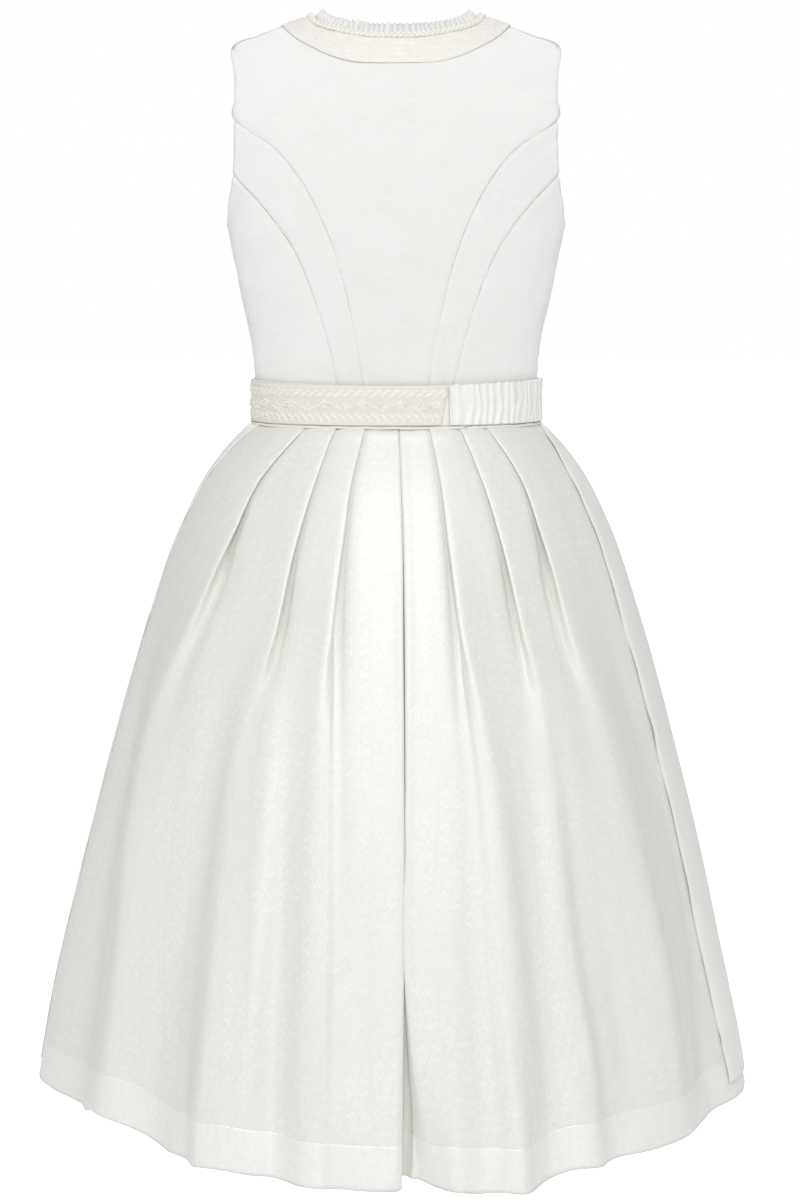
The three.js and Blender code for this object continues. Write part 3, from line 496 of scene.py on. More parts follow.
# Half-width of the body ring and its depth behind and in front.
bodyRings = {
    "z": [10, 36, 47, 61, 75, 89, 103, 116, 130, 144, 157, 171, 185, 200, 215, 240, 266, 300, 347, 400],
    "half": [127, 129.4, 130.2, 131.1, 132.8, 135.5, 138.6, 141.7, 144.3, 147, 149.8, 152.7, 154.6, 158, 161.5,
             166, 170, 174, 176, 176],
    "back": [95.5, 97, 98, 99.3, 101, 103, 104.6, 106.2, 108, 109.5, 110.8, 111.6, 112, 112, 111.5, 109, 105.5,
             96.5, 79.5, 62],
    "front": [97.5, 99, 101, 104, 109, 115, 121.5, 127.5, 133, 136.5, 138, 136, 132.5, 127, 121.5, 113, 104.5,
              94, 76, 60],
}
shoulder = {"round": 110.0, "fall": 0.29, "bow": 0.001, "rise": 0.36, "neckPointX": 74.4}
bust = {"x": 68.0, "z": 157.0, "wide": 36.0, "tall": 40.0, "swell": 0.05}
bodyPower = 2.2
bodiceWall = 1.6


def shoulderHeight(x):
    over = np.abs(x) - shoulder["neckPointX"]
    outside = neckPointZ - over * (shoulder["fall"] + over * shoulder["bow"])
    return np.where(over > 0, outside, neckPointZ - over * shoulder["rise"])


def ringValue(column, z):
    z = np.asarray(z, float)
    read = splineThrough(bodyRings["z"], bodyRings[column], z.ravel())
    return read.reshape(z.shape)


def bodyDepthSquared(x, z, side):
    half = ringValue("half", z)
    depth = ringValue("back" if side > 0 else "front", z)
    if side < 0:
        u = (np.abs(x) - bust["x"]) / bust["wide"]
        v = (z - bust["z"]) / bust["tall"]
        depth = depth * (1 + bust["swell"] * np.exp(-u * u - v * v))
    across = np.maximum(0, 1 - (np.abs(x) / half) ** bodyPower)
    below = shoulderHeight(x) - z
    crown = np.where(below < shoulder["round"], 1 - (1 - below / shoulder["round"]) ** 2, 1)
    return depth * depth * across ** (2 / bodyPower) * crown


# Places on the bodice from half-widths and heights, with the outward direction.
nudge = 0.05


def bodyPlace(x, z, side):
    x, z = np.asarray(x, float), np.asarray(z, float)
    y = side * np.sqrt(np.maximum(0, bodyDepthSquared(x, z, side)))
    sign = np.where(x < 0, -1.0, 1.0)
    inner = np.maximum(0, np.abs(x) - nudge) * sign
    dx = (bodyDepthSquared(inner + nudge * sign, z, side) - bodyDepthSquared(inner, z, side)) / nudge
    dz = (bodyDepthSquared(x, z + nudge, side) - bodyDepthSquared(x, z - nudge, side)) / (2 * nudge)
    normal = unit(np.stack([np.where(np.abs(x) < 0.01, 0, -dx * sign), 2 * y, -dz], axis=-1))
    return np.stack([x, y, z], axis=-1), normal


def onRidge(x):
    return [x, float(shoulderHeight(x))]


def ringAngle(x, z):
    half = ringValue("half", z)
    return np.arcsin(np.minimum(1, np.abs(x) / half) ** (bodyPower / 2))


def ringWidth(angle, z):
    return ringValue("half", z) * np.sin(angle) ** (2 / bodyPower)


def fillPanel(top, bottom, left, right):
    top, bottom, left, right = (np.asarray(edge, float) for edge in (top, bottom, left, right))
    u = np.linspace(0, 1, len(top))[None, :, None]
    v = np.linspace(0, 1, len(left))[:, None, None]
    ruled = (1 - v) * top[None] + v * bottom[None] + (1 - u) * left[:, None] + u * right[:, None]
    corners = (1 - v) * ((1 - u) * top[0] + u * top[-1]) + v * ((1 - u) * bottom[0] + u * bottom[-1])
    return ruled - corners


# Evens out the inner points of a panel by elliptic smoothing.
def settleRows(rows, rounds=60):
    rows = rows.copy()
    for _ in range(rounds):
        for i in range(1, len(rows) - 1):
            for j in range(1, rows.shape[1] - 1):
                up, down, left, right = rows[i - 1, j], rows[i + 1, j], rows[i, j - 1], rows[i, j + 1]
                along, across = right - left, down - up
                a, b, c = across @ across, along @ across, along @ along
                mixed = rows[i + 1, j + 1] - rows[i + 1, j - 1] - rows[i - 1, j + 1] + rows[i - 1, j - 1]
                rows[i, j] = (a * (left + right) + c * (up + down) - 0.5 * b * mixed) / (2 * (a + c))
    return rows


# Seams from the armhole down to the waist, as half-widths and heights.
innerSeam = [[143.7, 271], [108.5, 246.4], [87, 222], [69.6, 192], [56, 160], [45.5, 125], [37.3, 88], [31, 52],
             [25.5, waistSeamZ]]
outerSeam = [[144.8, 223], [126, 203], [107, 181], [90.5, 157], [78, 130], [68, 102], [60, 74.5], [53.5, 46],
             [47.5, waistSeamZ]]
frontSeam = [[139.8, 238], [117, 216], [101, 190], [91, 163], [82, 136], [73.5, 110], [64, 80], [54.5, 47],
             [45, waistSeamZ]]
sideSeamHeights = [178, 165, 149, 131, 111, 89, 66, 42, waistSeamZ]
backArmhole = [[144.8, 223], [147.4, 210.5], [150.2, 198], [152.2, 186], [153.6, 178]]
frontArmhole = [[139.8, 238], [144.8, 214], [149, 198], [151.8, 186], [153.6, 178]]
backNeck = {
    "edge": [[0, 346.8], [15, 347.2], [30, 349], [45, 352.3], [59, 356], [69, 360.8], onRidge(74.4)],
    "braid": [[0, 339.8], [16, 340.2], [32, 342], [48, 345.5], [63.3, 350], [75, 356], onRidge(80.8)],
    "trim": [[0, 318.6], [18, 318.8], [38, 320.2], [57, 326], [75, 335], [92, 346], onRidge(104)],
}
frontNeck = {
    "edge": [[0, 225], [26, 228], [48, 240.5], [63.5, 261], [72.5, 288], [76.8, 320], [77, 345], [76, 358],
             onRidge(74.4)],
    "braid": [[0, 218], [27.3, 221.2], [51.6, 234.9], [69.4, 257.5], [79.3, 286], [83.8, 319.3], [84, 345],
              [82.8, 357.5], onRidge(80.8)],
    "trim": [[0, 195], [32, 198.8], [63.5, 216], [88.5, 246], [101.5, 280.5], [106.8, 317], [107, 339],
             [106, 350], onRidge(104)],
}
backRows = {
    "ends": [onRidge(104), onRidge(126), onRidge(148.6), [145.4, 313], [143.9, 291], *innerSeam],
    "centre": [318.6, 305, 291, 268, 246, 226, 204, 184, 162, 136, 108, 80, 50, waistSeamZ],
}
frontRows = {
    "ends": [onRidge(104), onRidge(126), onRidge(148.6), [141.6, 313], [137.6, 281], *frontSeam],
    "centre": [195, 187, 179, 170, 160, 148, 134, 119, 103, 87, 69, 50, 30, waistSeamZ],
}


def centrePanel(neck, rows):
    n = len(neck["trim"]) - 1
    bottom = [[rows["ends"][-1][0] * j / n, waistSeamZ] for j in range(n + 1)]
    left = [[0, z] for z in rows["centre"]]
    under = settleRows(fillPanel(neck["trim"], bottom, left, rows["ends"]))
    return np.concatenate([[neck["edge"]], [neck["braid"]], under])


def seamPanel(top, left, right):
    def asAngle(edge):
        edge = np.asarray(edge, float)
        return np.stack([ringAngle(edge[:, 0], edge[:, 1]), edge[:, 1]], axis=-1)

    top, left, right = asAngle(top), asAngle(left), asAngle(right)
    share = np.linspace(0, 1, len(top))
    bottom = np.stack([left[-1, 0] + (right[-1, 0] - left[-1, 0]) * share, np.full(len(top), waistSeamZ)], -1)
    return fillPanel(top, bottom, left, right)


# Distance in millimetres of each grid point from a line of points.
def distanceTo(line, points):
    flat = points.reshape(-1, 3)
    best = np.full(len(flat), 1e6)
    for a, b in zip(line[:-1], line[1:]):
        run = b - a
        share = np.clip((flat - a) @ run / (run @ run + smallest), 0, 1)
        best = np.minimum(best, np.linalg.norm(flat - a - share[:, None] * run, axis=1))
    return best.reshape(points.shape[:2])


# The linen is cut on the straight grain, so its uv is the way round the body and the height. Panels behind and
# in front lie apart in the pattern.
linenGrain = {"roundness": 0.72, "radius": 135, "apart": 700, "lift": 20}


def bodiceUv(points, side):
    angle = np.arctan2(points[..., 0] * linenGrain["roundness"], np.abs(points[..., 1]) + 1)
    across = angle * linenGrain["radius"] * side + linenGrain["apart"] * (side < 0)
    return np.stack([across, points[..., 2] + linenGrain["lift"] * side], axis=-1)


# Sewn seams lie in a shallow ditch with a soft ridge beside it; a turned edge stands up a little to its stitches.
seamDitch = {"depth": 0.9, "wide": 2.0, "ridge": 0.3, "ridgeAt": 4.4, "ridgeWide": 2.4}
turnedEdge = {"stitchesAt": 3.6, "depth": 0.28, "wide": 0.9, "rise": 0.22}
bodiceSeams = {
    "inner": (innerSeam, 1),
    "outer": (outerSeam, 1),
    "front": (frontSeam, -1),
    "sideBack": ([[float(ringValue("half", np.array(z))), z] for z in sideSeamHeights], 1),
}
armholes = {
    1: [onRidge(148.6), [145.4, 313], [143.9, 291], [143.7, 271], *backArmhole],
    -1: [onRidge(148.6), [141.6, 313], [137.6, 281], *frontArmhole],
}


def ditch(distance):
    ridge = bell(distance - seamDitch["ridgeAt"], seamDitch["ridgeWide"])
    return seamDitch["ridge"] * ridge - seamDitch["depth"] * bell(distance, seamDitch["wide"])


def turned(distance):
    raised = turnedEdge["rise"] * np.clip(1.5 - distance / turnedEdge["stitchesAt"], 0, 1)
    return raised - turnedEdge["depth"] * bell(distance - turnedEdge["stitchesAt"], turnedEdge["wide"])


def lineOnBody(line, side, mirror):
    places = denser(line, 5)
    points, _ = bodyPlace(places[:, 0] * mirror, places[:, 1], side)
    return points


stretch = {"cells": (9, 6), "depth": 0.3}


# A bodice panel from its flat places, with its seams sunk, its armhole edge turned and an uneven stretch over all.
def bodicePanel(name, places, side, mirrors, seams, flat, area, seed):
    points, normal = bodyPlace(places[..., 0], places[..., 1], side)
    lift = np.full(points.shape[:2], bodiceWall / 2)
    for mirror in mirrors:
        for seam in seams:
            line, seamSide = bodiceSeams[seam]
            lift += ditch(distanceTo(lineOnBody(line, seamSide, mirror), points))
        lift += turned(distanceTo(lineOnBody(armholes[side], side, mirror), points))
    lift += smoothNoise(points.shape[:2], stretch["cells"], seed, stretch["depth"])
    points = points + normal * lift[..., None]
    piece = sheetPiece(name + "_cloth", points, normal, bodiceUv(points, side), linen, bodiceWall)
    declare(piece, "bodice_linen", name, flat=flat, area=area, held="stretched", rests_on=["waistband"])


print("scene: bodice panels")

backPlaces = centrePanel(backNeck, backRows)
frontPlaces = centrePanel(frontNeck, frontRows)
backWhole = np.concatenate([backPlaces[:, :0:-1] * [-1, 1], backPlaces], axis=1)
sidePanels = {
    "back_strip": {
        "top": [[143.7 + 1.1 * k / 3, 271 - 48 * k / 3] for k in range(4)], "left": innerSeam, "right": outerSeam,
        "side": 1, "steps": (8, 10), "flat": (0.075, 0.3), "area": 0.0097, "seams": ("inner", "outer"),
    },
    "back_side": {
        "top": backArmhole, "left": outerSeam, "right": bodiceSeams["sideBack"][0],
        "side": 1, "steps": (8, 9), "flat": (0.15, 0.22), "area": 0.0234, "seams": ("outer", "sideBack"),
    },
    "front_side": {
        "top": frontArmhole, "left": frontSeam, "right": bodiceSeams["sideBack"][0],
        "side": -1, "steps": (8, 9), "flat": (0.155, 0.235), "area": 0.0268, "seams": ("front", "sideBack"),
    },
}


def makeBodice():
    places = refineGrid(backWhole, 6, 8)
    bodicePanel("back_center", places, 1, (1, -1), ("inner",), (0.3, 0.36), 0.0661, 3)
    for index, (side, mirror) in enumerate({"left": 1, "right": -1}.items()):
        front = refineGrid(frontPlaces, 6, 8) * [mirror, 1]
        bodicePanel("front_" + side, front, -1, (mirror,), ("front",), (0.155, 0.36), 0.032, 5 + index)
        for kind, cut in sidePanels.items():
            fine = refineGrid(seamPanel(cut["top"], cut["left"], cut["right"]), *cut["steps"])
            panel = np.stack([ringWidth(fine[..., 0], fine[..., 1]) * mirror, fine[..., 1]], axis=-1)
            bodicePanel(f"{kind}_{side}", panel, cut["side"], (mirror,), cut["seams"], cut["flat"], cut["area"],
                        11 + index)


makeBodice()

print("scene: skirt")

# One entry for each height: the ring that the folds hang on, then the folds themselves.
skirtRows = {
    "z": [10, 1.5, -3, -14, -42, -95, -180, -300, -450, -545, -632],
    "half": [127, 127.5, 134.6, 146, 168.5, 196, 225, 259, 295, 314.5, 333],
    "back": [95, 95.3, 103.7, 111.5, 128, 150, 177, 208, 242, 263.5, 286],
    "front": [97, 97.2, 102, 111, 127, 146, 171, 202, 233, 252.5, 272],
    "power": [2.2, 2.2, 2.2, 2.18, 2.13, 2.05, 1.96, 1.86, 1.79, 1.755, 1.72],
    "frontPower": [2.2, 2.2, 2.2, 2.18, 2.15, 2.12, 2.08, 2.03, 1.98, 1.96, 1.94],
    "layer": [1.3, 1.3, 1.3, 1.35, 1.5, 2.1, 3.4, 4, 4, 4, 4],
    "slitLayer": [1.3, 1.3, 1.3, 1.35, 1.5, 2.1, 2.8, 2.2, 1.8, 1.8, 1.8],
    "open": [0, 0, 0, 0.02, 0.07, 0.17, 0.42, 0.92, 1, 1, 1],
    "openFirst": [0, 0, 0, 0.02, 0.07, 0.17, 0.55, 0.95, 1, 1, 1],
    "openLast": [0, 0, 0, 0.02, 0.07, 0.2, 0.72, 0.97, 1, 1, 1],
    "wave": [1, 1, 1, 1, 1, 1, 0.8, 0.5, 0.35, 0.35, 0.35],
    "slit": [0, 0, 0, 0, 0, 0, 0, 0, 0, 0.32, 1],
    "gap": [0, 0, 0, -0.08, -0.1, -0.05, 0.35, 0.1, -0.3, 0, 0],
    "soft": [0.2, 0.3, 0.4, 1.3, 2.4, 3.8, 5.4, 7, 8.8, 9.4, 10],
    "puff": [0, 0, 0.1, 0.6, 1.1, 1.6, 2, 2.5, 3, 3.25, 3.5],
}
skirtHeights = len(skirtRows["z"])

# Places round the skirt in degrees from the centre back, one value for each height above.
skirtLines = {
    "centre": [-0.5, -0.6, -0.6, -0.7, -1, -1.5, -1.8, -2, -1.8, -1.7, -1.6],
    "left": {
        "edges": [
            [10, 10, 10, 10.4, 11.6, 12.7, 14.2, 15.4, 14.8, 14.65, 14.5],
            [21, 21.2, 21.2, 21.7, 22.6, 25, 27.3, 33, 34.4, 33.95, 33.5],
            [35, 35.5, 35.5, 37.5, 42.4, 46.2, 52.5, 58.8, 57, 56, 55],
        ],
        "inner": [
            [8, 8, 8, 8, 9.1, 9.6, 10.2, 10.3, 9.6, 9.3, 9],
            [18, 18, 18, 18.5, 20.2, 22, 24.8, 26.6, 26.2, 27, 27.8],
            [31, 31, 31, 33, 37.5, 41.5, 45.6, 47.2, 46.5, 46.5, 46.5],
        ],
        "apron": [66, 68, 68, 72, 78, 84, 88, 91.5, 94, 94.5, 95],
        "seam": [100, 100, 100, 100, 100, 100, 100, 101, 102, 102, 102],
        "reach": [2, 2, 0],
        "hollow": -14,
        "swell": [0, 0, 0, 0.5, 1.5, 2.5, 5, 11, 16, 20, 19],
    },
    "right": {
        "edges": [
            [11, 11, 11, 11.2, 11.8, 12.7, 14.4, 19, 21.4, 22.45, 23.5],
            [23, 23, 23, 23.3, 24.6, 26.8, 29, 32.8, 33.6, 34.3, 35],
            [35, 35.4, 35.4, 36.4, 38.6, 39.8, 41.6, 46.5, 50.8, 53.4, 56],
        ],
        "inner": [
            [8, 8, 8, 8, 9.2, 10.2, 11.6, 12.6, 11.5, 11.5, 11.5],
            [20, 20, 20, 20, 21.3, 23.6, 26, 26.6, 28, 28.75, 29.5],
            [31, 31, 31, 33, 34.8, 36, 37.6, 38, 40.7, 44.35, 48],
        ],
        "apron": [82, 79, 78, 71, 65.6, 65.2, 65.5, 69, 71.7, 71.6, 71.5],
        "seam": [92, 92, 92, 92, 92, 92, 92, 92, 92, 92, 92],
        "reach": [3, 1, 2],
        "hollow": -2,
        "swell": [0, 0, 0, 0, 0.3, 0.8, 1.7, 1.5, 4, 5.5, 3.5],
    },
}
hemLine = {
    "deg": [-115, -90, -75, -61, -51, -40, -34, -30, -26.7, -23, -17, -13, -10, -6.5, -3, 0, 2, 7.5, 14, 20, 27, 34,
            39, 42.5, 47, 51.5, 55, 58, 62, 67, 78, 90, 105, 125, 150],
    "z": [-632, -629, -628, -634, -628, -633, -634.5, -630, -637.5, -644, -640, -642.5, -639.5, -638.5, -634, -637,
          -637, -636, -633, -632, -624, -626.5, -631.5, -631, -625, -616, -612.5, -612, -619, -632, -639, -637,
          -634, -633, -632],
}
# Each fold column: along and layers out when shut, then along and out in millimetres at the hem.
slitLeft = [(0, -2, -3, -34), (11.2, -2, 0, -33), (12.2, -1.5, 2, -29), (11.2, -1, 2.5, -22), (0.6, -1, 2, -12),
            (0, -0.5, 0, -4), (0.6, 0, 3, 0), (9, 0, 20, 2)]
slitRight = [(0, -2, -3, -34), (-12.4, -2, -6, -32), (-13.4, -1.5, -8.5, -27), (-12.4, -1, -11.5, -21.5),
             (-1.9, -1, -17, -21), (-1.3, -0.5, -24, -16), (-1.9, 0, -31, -10.5), (-11, 0, -38, -5)]
# Each pleat column: along and layers out when shut, then a share of the way to the edge or millimetres past it,
# and out in millimetres when open.
knifePleat = [
    (-3.4, 0.6, 0, None, 1), (-1.6, 0.1, 0.3, None, -1), (12, 0, 0.55, None, -3), (13, 0.5, 0.7, None, -4.5),
    (12, 1, 0.82, None, -3), (1, 1, 0.92, None, 3), (0, 1.5, 1, None, 8), (1, 2, None, 8, 7),
    (10, 2.05, None, 22, 2), (18, 1.8, None, 40, -2),
]
pleatBase = {"start": 3.4, "shut": 18, "open": 40, "layers": 1.35}
softFolds = [1, 0.75, 1.2, 0.8, 1.1, 0.8]
softWave = [-0.9, 0.2, 1, 0.1]
underApron = {"layers": 0.3, "fall": -4, "nearSeam": 0.85, "atSeam": 0.75, "fades": 6}


# Half the length over which a ring's direction is taken.
ringStep = 2.5


def onLine(at, known, values):
    return np.stack([np.interp(at, known, values[..., k]) for k in range(values.shape[-1])], axis=-1)


class Ring:
    def __init__(self, row):
        self.degrees = np.linspace(0, 270, 721)
        x, y, _ = ringAt(self.degrees, row["half"], row["back"], row["front"], (row["power"], row["frontPower"]))
        self.points = np.stack([x, y], axis=1)
        self.lengths = arcAlong(self.points)

    def lengthAt(self, deg):
        return math.copysign(float(np.interp(abs(deg), self.degrees, self.lengths)), deg)

    # A point at a length along the ring from the centre back, moved out from it.
    def at(self, length, out):
        far = abs(length)
        point, before, after = onLine([far, far - ringStep, far + ringStep], self.lengths, self.points)
        along = np.array([1.0, 0.0]) if far < 2 else (after - before) / np.linalg.norm(after - before)
        point = point + [-along[1] * out, along[0] * out]
        return point * [-1, 1] if length < 0 else point


def mix(a, b, s):
    return a + (b - a) * s


def backHalf(ring, row, r, side):
    lines = skirtLines[side]
    sign = 1 if side == "left" else -1
    centre = ring.lengthAt(skirtLines["centre"][r])
    points = []
    for shutAlong, shutOut, openAlong, openOut in slitLeft if side == "left" else slitRight:
        out = mix(shutOut * row["slitLayer"], openOut, row["slit"])
        topLayer = -1.2 < shutOut < 0.5
        apart = sign * row["gap"] if topLayer else 0
        points.append(ring.at(centre + mix(shutAlong, openAlong, row["slit"]) + apart, out))
    edges, inners = ([ring.lengthAt(line[r]) for line in lines[kind]] for kind in ("edges", "inner"))
    for k, (at, inner) in enumerate(zip(edges, inners)):
        opened = row[("openFirst", "open", "openLast")[k]]
        reach = lines["reach"][k] * opened**3
        for shutAlong, shutOut, share, past, openOut in knifePleat:
            wide = at + past if share is None else mix(inner, at, share)
            out = mix(shutOut * row["layer"], openOut * row["wave"], opened) + reach
            points.append(ring.at(sign * mix(at + shutAlong, wide, opened), out))
        last = at + mix(pleatBase["shut"], pleatBase["open"], opened)
        if k < 2:
            following = mix(edges[k + 1] - pleatBase["start"], inners[k + 1], opened)
            between = (lines["reach"][k] + lines["reach"][k + 1]) / 2 * opened**3
            out = mix(pleatBase["layers"] * row["layer"], -row["wave"], opened) + between
            points.append(ring.at(sign * mix(last, following, 0.5), out))
    opened = row["open"]
    apron, seam = ring.lengthAt(lines["apron"][r]), ring.lengthAt(lines["seam"][r])
    hollow, swell = lines["hollow"] * opened**3, lines["swell"][r]
    out = mix(underApron["layers"] * row["layer"], underApron["fall"], opened) + hollow
    points.append(ring.at(sign * mix(last, apron, 0.5), out))
    for length, share in ((apron, 1), (mix(apron, seam, 0.5), underApron["nearSeam"]), (seam, underApron["atSeam"])):
        points.append(ring.at(sign * length, share * swell))
    return points


def frontSpan(ring, row, r):
    start = ring.lengthAt(skirtLines["left"]["seam"][r])
    half = ring.lengthAt(180)
    stop = 2 * half - ring.lengthAt(skirtLines["right"]["seam"][r])
    columns = len(softFolds) * len(softWave)
    points = []
    for j in range(1, columns):
        length = mix(start, stop, j / columns)
        left = length <= half
        wave = row["soft"] * softFolds[j // len(softWave)] * softWave[j % len(softWave)]
        fromSeam = j if left else columns - j
        fading = underApron["atSeam"] * max(0, 1 - fromSeam / underApron["fades"]) ** 2
        swell = fading * skirtLines["left" if left else "right"]["swell"][r]
        points.append(ring.at(length if left else length - 2 * half, wave * min(1, fromSeam / 3) + swell))
    return points


# The closed line of every height, and how many columns each part of it has.
def skirtLinesClosed():
    grid = []
    for r in range(skirtHeights):
        row = {key: values[r] for key, values in skirtRows.items()}
        ring = Ring(row)
        left = backHalf(ring, row, r, "left")
        front = frontSpan(ring, row, r)
        right = backHalf(ring, row, r, "right")[1:][::-1]
        line = np.array([*left, *front, *right])
        deg = np.degrees(np.arctan2(line[:, 0] / row["half"], line[:, 1] / row["back"]))
        z = np.full(len(line), float(row["z"]))
        if r == skirtHeights - 1:
            z = splineThrough(hemLine["deg"], hemLine["z"], deg)
        grid.append(np.column_stack([line, z]))
    return np.array(grid), len(left), len(front)


skirtFine = {"columnSteps": 6, "wall": 1.1, "apronWall": 1.0}
heightSpans = [(waistSeamZ, -14, 2.4), (-14, -95, 4.5), (-95, -300, 7.5), (-300, -560, 9), (-560, hemZ, 4)]
heightsFine = np.concatenate([*(np.arange(top, low, -step) for top, low, step in heightSpans), [hemZ]])


def atHeights(knots, values, heights):
    return splineThrough(-np.array(knots, float), values, -heights)


# Rounds the folds off more and more towards the hem, as wide as the given reach in millimetres along the row.
softenStep = 1.5


def softenRow(line, reach):
    closed = np.vstack([line, line[:1]])
    run = arcAlong(closed)
    count = int(run[-1] / softenStep)
    even = np.linspace(0, run[-1], count, endpoint=False)
    low = np.exp(-2 * (math.pi * np.fft.fftfreq(count, run[-1] / count) * reach) ** 2)[:, None]
    smooth = np.real(np.fft.ifft(np.fft.fft(onLine(even, run, closed), axis=0) * low, axis=0))
    return onLine(run[:-1], np.append(even, run[-1]), np.vstack([smooth, smooth[:1]]))


# Soft ridges and troughs of the open folds behind: where each one runs, how far it stands out, and its width
# towards the centre and away from it.
ridgeHeights = [-95, -180, -240, -300, -375, -450, -545, -632]
foldRidges = [
    ([49, 55, 60, 65, 70, 74, 78, 81], [0, 1, 2.5, 4, 6, 8.5, 10.5, 10.5], (28, 13)),
    ([92, 108, 125, 137, 146, 154, 163, 172], [0, 1.5, 5, 9, 12, 17, 23, 26], (30, 14)),
    ([156, 188, 211, 226, 240, 246, 256, 265], [0, 2, 8, 13.5, 17, 17, 14, 12], (24, 14)),
    ([92, 100, 106, 110, 114, 117, 121, 125], [0, 1, 2.5, 3, 3, 3, 3, 3], (9, 8)),
    ([158, 165, 175, 181, 190, 200, 212, 222], [0, 1.2, 3.2, 3.6, 3.6, 3.6, 3, 3], (9, 9)),
    ([80, 86, 92, 95, 96, 97, 99, 102], [0, 0, 0, -1, -2.5, -3.5, -3.5, -3], (8, 12)),
    ([118, 136, 152, 166, 179, 192, 204, 214], [0, 0, -1, -2.5, -6, -12, -16, -17], (14, 17)),
    ([185, 212, 234, 250, 264, 273, 281, 290], [0, 0, -1, -3.5, -6, -8, -8, -7], (10, 14)),
    ([-66, -82, -97, -108, -116, -123, -129, -134], [0, 0, 0, -2, -3, -4, -6, -6.5], (8, 10)),
    ([-104, -128, -142, -151, -161, -173, -190, -197], [0, 0, -0.5, -1.5, -2.5, -4.5, -8, -8], (9, 9)),
    ([-156, -186, -212, -232, -252, -267, -278, -284], [0, 0, -1, -3, -5, -7.5, -8, -7.5], (9, 12)),
    ([-44, -50, -51, -52, -53, -50, -46, -70], [0, 0, 1, 2, 2.5, 3, 3, 3], (22, 14)),
    ([-46, -58, -73, -84, -92, -99, -106, -110], [0, 2, 4, 5.5, 8, 10, 13, 15], (18, 10)),
    ([-92, -115, -127, -135, -143, -152, -168, -175], [0, 2, 3.5, 5, 7, 8, 10, 11], (13, 7.5)),
    ([-100, -128, -146, -156, -167, -178, -196, -210], [0, 0, 3.5, 5, 4.5, 4.5, 6, 7], (9, 10)),
    ([-128, -158, -178, -194, -212, -231, -247, -252], [0, 2, 6.5, 9, 12, 15, 15.5, 14], (22, 14)),
]
# Where a pressed pleat lets go, its under layer falls back from the edge: millimetres at each height, by pleat.
pocketHeights = [10, -70, -95, -110, -125, -140, -155, -180, -205, -230, -260]
foldPockets = {
    "left": [[0, 0, 0, 0, -0.3, -0.6, -1, -2, -2, -1, 0], [0, 0, 0, -0.6, -1.5, -3, -4.5, -5.5, -2.5, 0, 0],
             [0, 0, -1.8, -4, -7, -7, -4, -1, 0, 0, 0]],
    "right": [[0, 0, 0, 0, -0.3, -0.6, -1, -2, -2.5, -1.5, 0], [0, 0, 0, -1, -2.5, -4.5, -5.5, -4, -1.5, 0, 0],
              [0, 0, -1.8, -4, -6.5, -7.5, -5.5, -2.5, -1, 0, 0]],
}
pocketShare = [0, 0.15, 0.6, 1, 1, 0.8, 0.3, -0.12, -0.16, -0.1, 0]
pleatStarts = [8, 19, 30]


def smoothStep(share):
    share = np.clip(share, 0, 1)
    return share * share * (3 - 2 * share)


# The folds stand out further behind than at the sides.
outwardShare = [1, 1.4, 0]
ridgeFade = 40


def ridgeRise(points):
    x, y, z = np.moveaxis(points, -1, 0)
    total = np.zeros_like(x)
    for place, height, wide in foldRidges:
        crest, rise = (atHeights(ridgeHeights, line, z.ravel()).reshape(z.shape) for line in (place, height))
        off = (x - crest) * np.sign(crest) + rise * np.abs(x) / np.hypot(x, outwardShare[1] * y)
        total += rise * np.exp(-0.5 * (off / np.where(off < 0, *wide)) ** 2) * np.clip(y / ridgeFade, 0, 1)
    return total


def pocketRise(fromSlit, onLeft):
    total = np.zeros((len(heightsFine), len(fromSlit)))
    for side, here in (("left", onLeft), ("right", ~onLeft)):
        for start, depth in zip(pleatStarts, foldPockets[side]):
            share = np.interp(fromSlit, start - 2 + np.arange(len(pocketShare)), pocketShare, 0, 0)
            total += np.interp(-heightsFine, -np.array(pocketHeights, float), depth)[:, None] * share * here
    return total


softening = {"z": [-632, -450, -300, -230, -180, -95, -42, 10], "reach": [15, 16, 14, 9, 3.6, 1.2, 0.5, 0.3]}
softBand = {"from": 6.5, "over": 5.5, "to": 47.5, "fade": 5, "least": 0.25}
unevenness = {"samples": 901, "depth": 0.8, "power": 1.2, "blend": 60}
coarseSkirt, leftCount, frontCount = skirtLinesClosed()
around = skirtFine["columnSteps"]
skirtSurface = atHeights(skirtRows["z"], np.array([denser(line, around, closed=True) for line in coarseSkirt]),
                         heightsFine)
columnsFine = skirtSurface.shape[1]
columnIndex = np.arange(columnsFine)
leftEnd = (leftCount - 1) * around
frontEnd = leftEnd + (frontCount + 1) * around
fromSlit = np.minimum(columnIndex, columnsFine - columnIndex) / around
softWeight = smoothStep((fromSlit - softBand["from"]) / softBand["over"])
softWeight *= softBand["least"] + (1 - softBand["least"]) * smoothStep((softBand["to"] - fromSlit) / softBand["fade"])
acrossSlit = np.arange(-7 * around, 7 * around + 1)
slitShare = np.linspace(0, 1, len(acrossSlit))[:, None]
for i, z in enumerate(heightsFine):
    bridged = skirtSurface[i].copy()
    bridged[acrossSlit] = mix(bridged[acrossSlit[0]], bridged[acrossSlit[-1]], slitShare)
    soft = softenRow(bridged, float(np.interp(z, softening["z"], softening["reach"])))
    skirtSurface[i] += (soft - skirtSurface[i]) * softWeight[:, None]
outwardSkirt = skirtSurface * [1, 1, 0]
outwardSkirt /= np.linalg.norm(outwardSkirt * outwardShare, axis=2, keepdims=True)
rise = ridgeRise(skirtSurface) * softWeight + pocketRise(fromSlit, columnIndex < columnsFine / 2)
skirtSurface = skirtSurface + outwardSkirt * outwardShare * rise[..., None]
drop = np.clip((waistSeamZ - heightsFine) / (waistSeamZ - hemZ), 0, 1)
samples = unevenness["samples"]
wander = smoothNoise((len(heightsFine), samples), (7, 75), 77)
